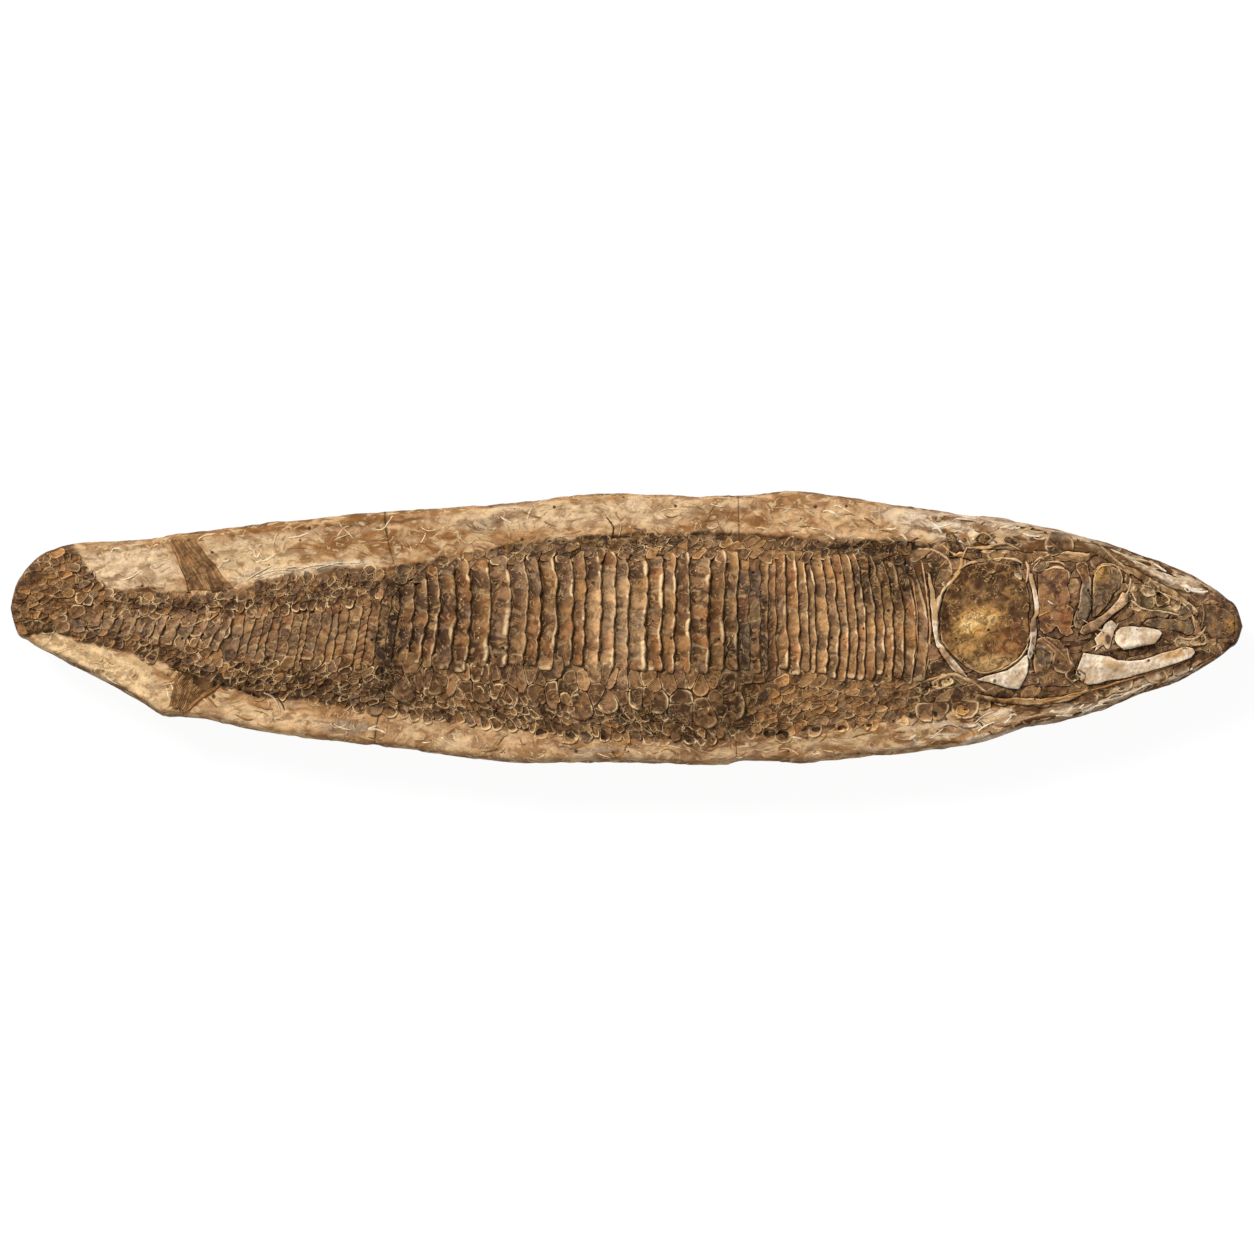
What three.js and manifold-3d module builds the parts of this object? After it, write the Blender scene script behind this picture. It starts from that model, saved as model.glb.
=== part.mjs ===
// A fossil fish in its stone nodule. The long nodule is opened along the bedding plane, and the
// fish's scales, fins and skull bones stand in relief on it. Two mended breaks part the nodule
// into a tail, a trunk and a head block.
// Millimetres, +Z up. +X points to the snout, +Y to the fish's back, and Z = 0 is the table.

import * as THREE from "three";
import { mergeVertices } from "three/addons/utils/BufferGeometryUtils.js";
import Module from "manifold-3d";

const wasm = await Module();
wasm.setup();

// Driving sizes of the nodule
const BED = 34; // bedding plane above the table
const EQUATOR = 20; // height of the widest line round the nodule
const SHOULDER_DROP = 5; // how far below the bed the top edge rounds over
const LIP = 2.6; // how far the stone rim stands above the bed beside the body
const LIP_START = -178; // X where the rim begins to rise, ahead of the tail
const LIP_FULL = -120; // X where the rim has its full height
const OUTER_LIP = 0.4; // share of that height left near the outline
const RIM_SHARES = { crest: 0.08, shoulder: 0.88, edge: 0.97 }; // from the body's edge to the outline
const KEEL = { length: 0.95, inset: 0.12, level: 0.35 }; // ring between the widest line and the foot
const FOOT_LENGTH = 0.8; // share of the length that rests on the table
const FOOT_INSET = 0.4; // share of the half width by which the foot is drawn in
const SIDE_STEPS = 44; // steps along the back edge, and along the belly edge
const CRACK = 0.4; // width of a mended break
const GAP = 0.3; // clearance between pieces that touch

// Driving sizes of the fish
const MARGIN = 1.2; // trough between the body and the stone rim
const SKIN = 1.6; // thickness of the body at its edges
const FLANK_COLUMNS = { rear: 12, middle: 20, front: 13 }; // tall scales in each block
const TAIL_COLUMNS = 12; // scale columns on the tail stem
const COLUMN_RELIEF = 1.3; // height of a tall flank scale above the groove beside it
const SCALE_RELIEF = 0.9; // height of a small scale above the groove beside it
const RAY_RELIEF = 0.7; // height of a fin ray above its membrane
const FIN_SKIN = 1.1; // thickness of a fin membrane
const BONE_BEVEL = 0.6; // rounding along a bone's edges
const BONE_ENDS = 0.65; // share of a bar's width left at its ends

// Colours and finish of the materials
const FINISHES = {
  stone: { color: 0xc09a6d, roughness: 0.9 },
  scale: { color: 0x7d5b40, roughness: 0.6 },
  fin: { color: 0x6d523c, roughness: 0.7 },
  brown_bone: { color: 0x845f43, roughness: 0.55 },
  pale_bone: { color: 0xdac0a4, roughness: 0.6 },
};

// Height of the body's crown above its edges, along X
const crown = interpolate([
  [-276, 1.5], [-230, 3], [-150, 6], [-50, 9], [50, 10], [130, 9], [180, 7.5], [240, 4.5], [276, 2],
]);

// Edges of the nodule seen from above, from the tail end to the snout
const TAIL_END = [-276.5, 9];
const SNOUT_END = [276.5, 1];
const NODULE_BACK = [
  TAIL_END, [-274.5, 18], [-271, 24.5], [-264, 32], [-255, 36.5], [-228, 39], [-174, 45.5], [-102, 53],
  [-48, 56.5], [-21, 60], [51, 59.5], [74, 61.5], [96, 59.5], [132, 53.5], [186, 46], [231, 33],
  [258, 21.5], [269.5, 13.5], [274.5, 8], SNOUT_END,
];
const NODULE_BELLY = [
  TAIL_END, [-274, -0.5], [-268.5, -6], [-255, -13.5], [-210, -38], [-201, -39.5], [-174, -44.5],
  [-102, -54], [-48, -60.5], [33, -61.5], [49, -61], [54, -59], [96, -58.5], [132, -55], [168, -48.5],
  [177, -45], [204, -39.5], [231, -29.5], [258, -18], [270.5, -9], [275, -4], SNOUT_END,
];

// Edges of the body seen from above, where the stone rim begins
const BODY_TAIL = [-272, 10];
const BODY_SNOUT = [273, 3];
const BODY_BACK = [
  BODY_TAIL, [-268.5, 22.5], [-260, 31], [-250, 32.5], [-242, 23.5], [-232, 19], [-219, 17.5], [-199, 16.5],
  [-176, 17.5], [-164, 22], [-147, 25], [-109, 27], [-84, 31], [-48, 37], [-16, 40.5], [49, 42],
  [83, 40], [139, 38.5], [168, 37.5], [213, 37], [236, 23.5], [256, 13], [269, 11], BODY_SNOUT,
];
const BODY_BELLY = [
  BODY_TAIL, [-269.5, -0.5], [-257, -2], [-241.5, -3.5], [-228, -7.5], [-217, -13], [-201, -19.5],
  [-178, -26], [-164, -30], [-147, -32], [-109, -37.5], [-79, -42], [-48, -46], [-12, -49.5], [33, -51],
  [78, -47], [114, -43.5], [139, -39], [161, -36], [195, -35.5], [212, -29.5], [227, -24.5], [254, -17],
  [265, -10], BODY_SNOUT,
];

// Lines across the body that bound its lengths, as [y, x]
const tailFinRoot = interpolate([[-6, -249], [12, -248], [34, -245]]);
const tailRoot = interpolate([[-30, -184], [-13, -180], [7, -175], [24, -171]]);
const breakBehind = interpolate([
  [-66, -114], [-39, -111], [-28, -108], [-5, -103.5], [16, -101.5], [25, -103], [40, -107], [66, -109],
]);
const breakAhead = interpolate([[-68, 50], [-41, 49], [-23, 50], [4, 49.5], [31, 50.5], [68, 50]]);
const shoulder = interpolate([
  [-44, 129], [-28, 132], [-14, 134], [4, 134.5], [19, 132], [33, 127.5], [40, 125],
]);

// The body's edges between the root of the tail fin and the snout, as [x, y]
const BODY_LENGTH = { from: -245, to: 262 };
const backEdge = interpolate(BODY_BACK.slice(3, -1));
const bellyEdge = interpolate(BODY_BELLY.slice(2, -1));

// Lines along the body that part the tall flank scales from the small ones, as [x, y]
const flankTop = interpolate([
  [-250, 12], [-228, 8.5], [-178, 7.5], [-147, 9], [-109, 17], [-93, 25], [-48, 32.5], [-12, 34],
  [49, 34], [139, 31],
]);
const flankBottom = interpolate([
  [-250, 2], [-228, -2], [-178, -12.5], [-147, -16], [-109, -18], [-48, -19], [49, -20], [139, -25],
]);

// A smooth function through [input, output] pairs.
function interpolate(pairs) {
  const inputs = pairs.map(([input]) => input);
  const outputs = pairs.map(([, output]) => output);
  const curve = new THREE.CubicInterpolant(inputs, outputs, 1);
  return (input) => curve.evaluate(input)[0];
}

function lerp(a, b, t) {
  return THREE.MathUtils.lerp(a, b, t);
}

// Height of the body above the bed at a point, from its edges up to the crown.
function bodyHeight(x, y) {
  const inBody = THREE.MathUtils.clamp(x, BODY_LENGTH.from, BODY_LENGTH.to);
  const top = backEdge(inBody);
  const bottom = bellyEdge(inBody);
  const across = THREE.MathUtils.clamp((2 * y - top - bottom) / (top - bottom), -1, 1);
  return SKIN + crown(x) * (1 - across * across);
}

// Solids

function positionsOnly(geometry) {
  geometry.deleteAttribute("normal");
  geometry.deleteAttribute("uv");
  return mergeVertices(geometry, 1e-3);
}

function toSolid(geometry) {
  const merged = positionsOnly(geometry.clone());
  return new wasm.Manifold(new wasm.Mesh({
    numProp: 3,
    vertProperties: new Float32Array(merged.attributes.position.array),
    triVerts: new Uint32Array(merged.index.array),
  }));
}

function toGeometry(solid) {
  const mesh = solid.getMesh();
  const geometry = new THREE.BufferGeometry();
  geometry.setAttribute("position", new THREE.BufferAttribute(mesh.vertProperties, 3));
  geometry.setIndex(new THREE.BufferAttribute(mesh.triVerts, 1));
  return geometry;
}

function closedGeometry(points, triangles) {
  const geometry = new THREE.BufferGeometry().setFromPoints(points);
  geometry.setIndex(triangles);
  return geometry;
}

// A ring round the nodule: points of the back edge, then of the belly edge on the way back.
function ringBetween(backPoints, bellyPoints) {
  const there = new THREE.SplineCurve(backPoints.map(([x, y]) => new THREE.Vector2(x, y)));
  const back = new THREE.SplineCurve(bellyPoints.map(([x, y]) => new THREE.Vector2(x, y)));
  const top = there.getSpacedPoints(SIDE_STEPS);
  const bottom = back.getSpacedPoints(SIDE_STEPS);
  return [...top, ...bottom.slice(1, -1).reverse()];
}

// A skin over a stack of rings from the top one to the lowest, closed across at both ends.
function loft(rings) {
  const count = rings[0].length;
  const triangles = [];
  for (let level = 0; level + 1 < rings.length; level++) {
    for (let i = 0; i < count; i++) {
      const a = level * count + i;
      const b = level * count + ((i + 1) % count);
      triangles.push(a, b, a + count, b, b + count, a + count);
    }
  }
  const lowest = (rings.length - 1) * count;
  for (let i = 0; i < count / 2; i++) {
    const across = (count - i) % count;
    const next = count - i - 1;
    if (next !== i + 1) {
      triangles.push(i, next, i + 1);
      triangles.push(lowest + i, lowest + i + 1, lowest + next);
    }
    if (across !== i) {
      triangles.push(i, across, next);
      triangles.push(lowest + i, lowest + next, lowest + across);
    }
  }
  return closedGeometry(rings.flat(), triangles);
}

// The whole nodule, before it broke
function nodule() {
  const outline = ringBetween(NODULE_BACK, NODULE_BELLY);
  const body = ringBetween(BODY_BACK, BODY_BELLY);
  const count = outline.length;
  const lipAt = (x) => LIP * THREE.MathUtils.smoothstep(x, LIP_START, LIP_FULL);
  // a ring part of the way from the body's edge out to the outline
  const rimRing = (share, height) => outline.map((point, i) => {
    const place = body[i].clone().lerp(point, share);
    return new THREE.Vector3(place.x, place.y, height(place.x));
  });
  // a ring below the widest line, drawn in towards the middle of the nodule
  const hullRing = (lengthShare, inset, z) => outline.map((point, i) => {
    const opposite = outline[(count - i) % count];
    const middle = (point.y + opposite.y) / 2;
    return new THREE.Vector3(point.x * lengthShare, lerp(point.y, middle, inset), z);
  });
  return loft([
    rimRing(0, () => BED),
    rimRing(RIM_SHARES.crest, (x) => BED + lipAt(x)),
    rimRing(RIM_SHARES.shoulder, (x) => BED + OUTER_LIP * lipAt(x)),
    rimRing(RIM_SHARES.edge, () => BED - SHOULDER_DROP),
    hullRing(1, 0, EQUATOR),
    hullRing(KEEL.length, KEEL.inset, EQUATOR * KEEL.level),
    hullRing(FOOT_LENGTH, FOOT_INSET, 0),
  ]);
}

// A thin upright saw that follows a line across the nodule.
function saw(line) {
  const reach = 70;
  const steps = 14;
  const ys = Array.from({ length: steps + 1 }, (_, i) => lerp(-reach, reach, i / steps));
  const shape = new THREE.Shape([
    ...ys.map((y) => new THREE.Vector2(line(y) + CRACK / 2, y)),
    ...ys.reverse().map((y) => new THREE.Vector2(line(y) - CRACK / 2, y)),
  ]);
  const blade = new THREE.ExtrudeGeometry(shape, { depth: 2 * reach, bevelEnabled: false });
  return toSolid(blade.translate(0, 0, -reach));
}

function stoneBlocks() {
  const parted = toSolid(nodule()).subtract(saw(breakBehind)).subtract(saw(breakAhead));
  const middleX = (solid) => (solid.boundingBox().min[0] + solid.boundingBox().max[0]) / 2;
  return parted.decompose().sort((a, b) => middleX(a) - middleX(b)).map(toGeometry);
}

// Stations across a run of repeated forms: each form gives the profile's [share, lift] pairs.
function stations(count, profile) {
  const list = [];
  for (let k = 0; k < count; k++) {
    for (const [share, lift] of profile) {
      list.push({ at: (k + share) / count, lift });
    }
  }
  list.push({ at: 1, lift: profile[0][1] });
  return list;
}

// Sections of the raised forms, as shares of their pitch and of their relief
const COLUMN_PROFILE = [[0, 0], [0.16, 0.8], [0.6, 1], [0.88, 0.75]];
const SCALE_PROFILE = [[0, 0], [0.2, 1], [0.84, 0.9]];
const RAY_PROFILE = [[0, 0], [0.5, 1]];
const TALL_ENDS = [
  { at: 0, lift: 0.2 }, { at: 0.05, lift: 0.9 }, { at: 0.28, lift: 1 }, { at: 0.5, lift: 1 },
  { at: 0.72, lift: 1 }, { at: 0.95, lift: 0.9 }, { at: 1, lift: 0.2 },
];
const RAY_TAPER = [
  { at: 0, lift: 1 }, { at: 0.35, lift: 1 }, { at: 0.7, lift: 0.8 }, { at: 1, lift: 0.3 },
];

// A closed piece that lies flat on the bed, with a top raised station by station.
// place gives the plan point and the height of the top above the bed.
function relief(along, across, place) {
  const sheet = new THREE.PlaneGeometry(1, 1, along.length - 1, across.length - 1);
  const floor = BED + GAP;
  const points = [];
  for (let index = 0; index < along.length * across.length; index++) {
    const u = along[index % along.length];
    const v = across[across.length - 1 - Math.floor(index / along.length)];
    const { x, y, height } = place(u.at, v.at, u.lift * v.lift);
    points.push(new THREE.Vector3(x, y, floor + height));
  }
  // edge of the sheet, anticlockwise from its lower left corner
  const at = (i, j) => (across.length - 1 - j) * along.length + i;
  const edge = [];
  along.slice(0, -1).forEach((_, i) => edge.push(at(i, 0)));
  across.slice(0, -1).forEach((_, j) => edge.push(at(along.length - 1, j)));
  along.slice(1).forEach((_, i) => edge.push(at(along.length - 1 - i, across.length - 1)));
  across.slice(1).forEach((_, j) => edge.push(at(0, across.length - 1 - j)));
  const triangles = Array.from(sheet.index.array);
  const first = points.length;
  edge.forEach((index, k) => {
    const next = (k + 1) % edge.length;
    points.push(new THREE.Vector3(points[index].x, points[index].y, floor));
    triangles.push(index, first + k, first + next, index, first + next, edge[next]);
  });
  const contour = edge.map((index) => new THREE.Vector2(points[index].x, points[index].y));
  for (const [a, b, c] of THREE.ShapeUtils.triangulateShape(contour, [])) {
    triangles.push(first + a, first + c, first + b);
  }
  return closedGeometry(points, triangles);
}

// Plan point of a strip of the body, which runs from one line across it to the next and lies
// between two lines along it.
function stripPoint(strip, u, v) {
  const clear = (GAP + CRACK) / 2;
  let y = 0;
  let x = lerp(strip.from(y) + clear, strip.to(y) - clear, u);
  for (let round = 0; round < 4; round++) {
    y = lerp(strip.low(x), strip.high(x), v);
    x = lerp(strip.from(y) + clear, strip.to(y) - clear, u);
  }
  return { x, y };
}

function scaleStrip(strip, along, across, rise) {
  return relief(along, across, (u, v, lift) => {
    const { x, y } = stripPoint(strip, u, v);
    return { x, y, height: bodyHeight(x, y) + rise * lift };
  });
}

const TRUNK_LENGTHS = {
  rear: { from: tailRoot, to: breakBehind },
  middle: { from: breakBehind, to: breakAhead },
  front: { from: breakAhead, to: shoulder },
};

// Tall scales of the flank, one column each
function flank(length) {
  const strip = {
    ...TRUNK_LENGTHS[length],
    low: (x) => flankBottom(x) + GAP / 2,
    high: (x) => flankTop(x) - GAP / 2,
  };
  return scaleStrip(strip, stations(FLANK_COLUMNS[length], COLUMN_PROFILE), TALL_ENDS, COLUMN_RELIEF);
}

// Small scales above the tall ones, up to the back
function backScales(length, rows) {
  const strip = {
    ...TRUNK_LENGTHS[length],
    low: (x) => flankTop(x) + GAP / 2,
    high: (x) => backEdge(x) - MARGIN,
  };
  const columns = stations(FLANK_COLUMNS[length], SCALE_PROFILE);
  return scaleStrip(strip, columns, stations(rows, SCALE_PROFILE), SCALE_RELIEF);
}

// Small scales below the tall ones, down to the belly
function bellyScales(length, rows) {
  const strip = {
    ...TRUNK_LENGTHS[length],
    low: (x) => bellyEdge(x) + MARGIN,
    high: (x) => flankBottom(x) - GAP / 2,
  };
  const columns = stations(FLANK_COLUMNS[length], SCALE_PROFILE);
  return scaleStrip(strip, columns, stations(rows, SCALE_PROFILE), SCALE_RELIEF);
}

// The narrow stem of the tail: a row of taller scales between two rows of small ones
function tailStem() {
  const strip = {
    from: tailFinRoot,
    to: tailRoot,
    low: (x) => bellyEdge(x) + MARGIN,
    high: (x) => backEdge(x) - MARGIN,
  };
  return scaleStrip(strip, stations(TAIL_COLUMNS, SCALE_PROFILE), stations(3, SCALE_PROFILE), SCALE_RELIEF);
}

// A fin lies flat on the bed. root and tip hold the ends of its first and its last ray, counted
// anticlockwise about the root.
function fin(rays, root, tip) {
  return relief(stations(rays, RAY_PROFILE), RAY_TAPER, (u, v, lift) => {
    const x = lerp(lerp(root[0][0], root[1][0], u), lerp(tip[0][0], tip[1][0], u), v);
    const y = lerp(lerp(root[0][1], root[1][1], u), lerp(tip[0][1], tip[1][1], u), v);
    return { x, y, height: FIN_SKIN + RAY_RELIEF * lift };
  });
}

// A point on the body's edge where a fin's root meets it
const atBack = (x) => [x, backEdge(x) - MARGIN + GAP];
const atBelly = (x) => [x, bellyEdge(x) + MARGIN - GAP];
const atTail = (y) => [tailFinRoot(y) - GAP / 2, y];

// A smooth closed outline through points
function plate(points) {
  const [first, ...rest] = points.map(([x, y]) => new THREE.Vector2(x, y));
  const shape = new THREE.Shape();
  shape.moveTo(first.x, first.y);
  shape.splineThru([...rest, first]);
  return new THREE.Shape(shape.getSpacedPoints(2 * points.length).slice(0, -1));
}

// A bar of the given width along a curved line, tapered a little to both ends
function bar(line, width) {
  const steps = 7;
  const curve = new THREE.SplineCurve(line.map(([x, y]) => new THREE.Vector2(x, y)));
  const sides = [[], []];
  for (let i = 0; i <= steps; i++) {
    const t = i / steps;
    const point = curve.getPoint(t);
    const tangent = curve.getTangent(t);
    const half = (width / 2) * lerp(BONE_ENDS, 1, Math.sin(Math.PI * t));
    const normal = new THREE.Vector2(-tangent.y, tangent.x).multiplyScalar(half);
    sides[0].push(point.clone().sub(normal));
    sides[1].unshift(point.clone().add(normal));
  }
  return new THREE.Shape([...sides[0], ...sides[1]]);
}

// A skull bone on the bed: its top stands above the head's own curve by rise.
function bone(shape, rise) {
  const geometry = positionsOnly(new THREE.ExtrudeGeometry(shape, {
    depth: 1,
    bevelEnabled: true,
    bevelThickness: 1,
    bevelSize: BONE_BEVEL,
    bevelOffset: -BONE_BEVEL,
    bevelSegments: 1,
  }));
  const position = geometry.getAttribute("position");
  const floor = BED + GAP;
  for (let i = 0; i < position.count; i++) {
    const x = position.getX(i);
    const y = position.getY(i);
    const level = position.getZ(i);
    const crest = bodyHeight(x, y) + rise;
    // levels from the bed up: bottom face -1, lower edge 0, upper edge 1, top face 2
    const heights = [0, BONE_BEVEL, crest - BONE_BEVEL, crest];
    position.setZ(i, floor + heights[Math.round(level) + 1]);
  }
  return geometry;
}

// Skull bones: outline on the bed, rise above the head's curve, and finish
const SKULL = {
  shoulder_girdle: {
    shape: bar([[130.5, 32], [135, 20], [137.5, 6], [137.5, -7], [142, -18], [151, -27]], 4.6),
    rise: 0.8,
    finish: "pale_bone",
  },
  operculum: {
    shape: plate([
      [143.5, 17.5], [149, 24], [161.5, 27.5], [171.5, 25.5], [177, 17.5], [179, 4], [178.5, -9.5],
      [172, -15.5], [163.5, -18.5], [154.5, -18.5], [147, -14], [142.5, -6.5], [141.5, 6],
    ]),
    rise: 0.4,
    finish: "brown_bone",
  },
  subopercle: {
    shape: plate([[156, -22.5], [172, -18.5], [179, -13.5], [179, -21], [174.5, -28.5], [166, -27.5]]),
    rise: 0.2,
    finish: "pale_bone",
  },
  preopercle: {
    shape: bar([[182, 27], [183.5, 13], [183.5, 1.5], [182.5, -12], [182, -30]], 4),
    rise: 0.9,
    finish: "pale_bone",
  },
  cheek_upper: {
    shape: plate([
      [187, 26.5], [194, 28.5], [199.5, 26.5], [200.5, 17.5], [199.5, 3], [197, -5], [188, -6],
      [186.5, 8.5],
    ]),
    rise: 0.1,
    finish: "brown_bone",
  },
  cheek_lower: {
    shape: plate([
      [185.5, -9], [194, -8], [200, -9], [200.5, -14], [198, -23], [194, -29], [186, -29.5], [185, -18.5],
    ]),
    rise: 0,
    finish: "brown_bone",
  },
  cheek_hind: {
    shape: plate([[201.8, 25], [206, 24.5], [207, 13], [206, 3], [203, 1], [201.8, 13]]),
    rise: 0,
    finish: "brown_bone",
  },
  suspensorium: {
    shape: plate([
      [208.8, 23], [212.5, 27], [217.5, 26.5], [220, 22.5], [219, 18], [214.5, 12], [209, 7.5],
      [208.3, 13.5],
    ]),
    rise: 0.6,
    finish: "brown_bone",
  },
  jaw_strut: {
    shape: bar([[203, -5], [209.5, 1.5], [216.5, 7.5], [222.5, 15]], 4),
    rise: 1.1,
    finish: "pale_bone",
  },
  skull_roof: {
    shape: plate([
      [143, 32.5], [161.5, 35], [190.5, 34.5], [209.5, 34.5], [212, 31.5], [206.5, 29.8], [186, 30],
      [161.5, 29.5],
    ]),
    rise: 0.7,
    finish: "brown_bone",
  },
  snout_bar: {
    shape: bar([[214.5, 32.5], [225.5, 25.5], [239, 18.3], [250, 12.3], [256.2, 6]], 3.6),
    rise: 1,
    finish: "pale_bone",
  },
  snout_plate: {
    shape: plate([[227.5, 13.5], [231, 18], [238, 14.5], [247, 9.5], [249, 7.6], [240, 7.8], [230, 9]]),
    rise: 0.2,
    finish: "brown_bone",
  },
  upper_jaw: {
    shape: plate([
      [225, 6.5], [233.5, 6], [242.5, 5.6], [250, 5.2], [254, 0.5], [252, -3], [242.5, 0.4], [231, 1.8],
    ]),
    rise: 0.6,
    finish: "brown_bone",
  },
  maxilla: {
    shape: plate([
      [220.3, -2], [224, 0.3], [238.5, -1.5], [241, -4.5], [233.5, -7.5], [224.5, -8.5], [220.3, -6.5],
    ]),
    rise: 0.8,
    finish: "pale_bone",
  },
  lower_jaw: {
    shape: plate([
      [202, -22], [204, -13.5], [207.5, -11], [216.5, -12.8], [229, -14], [242.5, -10.5], [251, -8],
      [254.5, -10], [252, -13.5], [240, -17.5], [226.5, -21.5], [211.5, -25], [205, -25.5],
    ]),
    rise: 1.2,
    finish: "pale_bone",
  },
  jaw_joint: {
    shape: plate([[210, -3], [214, 0.8], [218, 0], [217.8, -6], [213.5, -9], [209.5, -7.5]]),
    rise: 0.3,
    finish: "pale_bone",
  },
  snout_tip: {
    shape: plate([[257.5, 8.5], [266, 8.5], [270, 5], [270.5, 0], [267, -4], [260, -5], [257.5, 0.5]]),
    rise: 0.4,
    finish: "brown_bone",
  },
  throat_bar: {
    shape: bar([[154, -29.8], [168, -32.2], [190.5, -32.6], [204, -29.3]], 2.8),
    rise: 0.5,
    finish: "brown_bone",
  },
};

// The fish on its nodule

const fossil = new THREE.Group();

function add(name, geometry, finish) {
  const material = new THREE.MeshStandardMaterial({ ...FINISHES[finish], metalness: 0 });
  const mesh = new THREE.Mesh(geometry, material);
  mesh.name = name;
  fossil.add(mesh);
}

const BLOCK_NAMES = ["stone_tail", "stone_trunk", "stone_head"];
stoneBlocks().forEach((block, i) => add(BLOCK_NAMES[i], block, "stone"));

add("tail_stem", tailStem(), "scale");
for (const length of Object.keys(TRUNK_LENGTHS)) {
  add(`flank_${length}`, flank(length), "scale");
  add(`back_${length}`, backScales(length, length === "rear" ? 2 : 1), "scale");
  add(`belly_${length}`, bellyScales(length, 2), "scale");
}

add("tail_fin_upper", fin(7, [atTail(12), atTail(28.5)], [[-270, 12], [-257, 31]]), "fin");
add("tail_fin_lower", fin(5, [atTail(0), atTail(12 - GAP)], [[-267, 1], [-270, 12 - GAP]]), "fin");
add("dorsal_fin", fin(8, [atBack(-197), atBack(-176)], [[-204, 38.5], [-194, 39]]), "fin");
add("anal_fin", fin(8, [atBelly(-179), atBelly(-196)], [[-198, -36], [-205, -28]]), "fin");

for (const [name, { shape, rise, finish }] of Object.entries(SKULL)) {
  add(name, bone(shape, rise), finish);
}

export default fossil;
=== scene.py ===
"""A fossil fish in its opened stone nodule, lit for a picture from straight above.

Stone blocks, tall flank scales, small scales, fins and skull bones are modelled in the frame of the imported
part. Lengths in the code are millimetres, and the meshes are in metres.
"""

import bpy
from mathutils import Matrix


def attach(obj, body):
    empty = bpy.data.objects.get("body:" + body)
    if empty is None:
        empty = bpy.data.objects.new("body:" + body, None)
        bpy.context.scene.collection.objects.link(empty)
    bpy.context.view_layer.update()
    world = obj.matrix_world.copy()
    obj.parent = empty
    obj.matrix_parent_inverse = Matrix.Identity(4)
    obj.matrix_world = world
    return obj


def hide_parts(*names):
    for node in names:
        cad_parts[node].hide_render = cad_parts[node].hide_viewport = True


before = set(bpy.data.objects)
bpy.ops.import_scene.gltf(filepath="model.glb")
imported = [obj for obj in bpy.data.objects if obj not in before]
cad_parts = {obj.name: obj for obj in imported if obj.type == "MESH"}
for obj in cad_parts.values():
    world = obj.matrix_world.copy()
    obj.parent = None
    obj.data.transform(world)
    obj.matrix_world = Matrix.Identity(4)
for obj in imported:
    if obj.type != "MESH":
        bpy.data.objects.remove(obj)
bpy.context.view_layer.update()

import logging
from dataclasses import dataclass, replace
from enum import Enum

import bmesh
import bpy
import numpy as np
from mathutils import Matrix, Vector
from mathutils.bvhtree import BVHTree
from mathutils.kdtree import KDTree

log = logging.getLogger("fossil_fish")
Array = np.ndarray
Place = tuple[float, float]
Mesh = bpy.types.Mesh
Piece = bpy.types.Object
Socket = bpy.types.NodeSocket

MM = 0.001
BODY = "root"

# Heights of the nodule above the table, as in the solids
BED = 34.0
EQUATOR = 20.0
LIP = 2.6
LIP_START, LIP_FULL = -178.0, -120.0

# Stone at the edge of the top falls this far as it rounds over
EDGE_FALL = 6.0

# Ends of the nodule, and where the head begins
TAIL_X, SNOUT_X = -276.4, 276.4
HEAD_START = 126.0

# The fish's ground lies this far above the bed at its edges
GROUND_LIFT = 1.3
TROUGH = 0.7

# Width of the mended breaks, which are filled and show as hairlines
CRACK = 0.12

# Ground and scales under a skull bone lie this much lower, so that they don't show through it
COVERED_DROP = 3.0

# Points of the plan stay this far inside the ends and the outline of the nodule
MARGIN = 1.0

# The edge of an unshaped disc lies this much lower, which shows its outside
DISC_DROP = 0.4

# Turn of an unshaped disc. It sets how the back of a bent plate is cut to triangles, which stay below its top
DISC_TURN = np.radians(240)

# Length of the plan that a bake map takes in
MAP_SPAN = 600.0

# Width of the picture at the nodule's widest line, and the middle of the picture on the table
PICTURE_WIDTH = 564.3
PICTURE_MIDDLE = (0.2, 0.7)


def linear(colour: str) -> Array:
    """Turn an sRGB hex colour to linear red, green and blue.

    Args:
        colour: A hex colour such as "#c09a6d".

    Returns:
        Three linear values.
    """
    srgb = np.array([int(colour[i:i + 2], 16) for i in (1, 3, 5)]) / 255
    return np.where(srgb <= 0.04045, srgb / 12.92, ((srgb + 0.055) / 1.055) ** 2.4)


def mix(first: Array, second: Array, share: Array) -> Array:
    """Go from first to second by share."""
    return first + (second - first) * share


def smooth(low: float, high: float, value: Array) -> Array:
    """Rise smoothly from 0 at low to 1 at high."""
    share = np.clip((value - low) / (high - low), 0, 1)
    return share * share * (3 - 2 * share)


@dataclass(frozen=True)
class Line:
    """A smooth line through places, as a function of their first coordinate."""

    places: tuple[Place, ...]

    def __call__(self, at: Array) -> Array:
        """Give the line's second coordinate.

        Args:
            at: First coordinates.

        Returns:
            The second coordinates there.
        """
        knots, values = np.array(self.places, float).T
        slopes = np.gradient(values, knots)
        left = np.clip(np.searchsorted(knots, at) - 1, 0, len(knots) - 2)
        width = knots[left + 1] - knots[left]
        t = np.clip((at - knots[left]) / width, 0, 1)
        start, end = values[left], values[left + 1]
        bend = width * ((1 - t) * slopes[left] - t * slopes[left + 1]) + (2 * t - 1) * (end - start)
        return mix(start, end, t) + t * (1 - t) * bend


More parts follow.
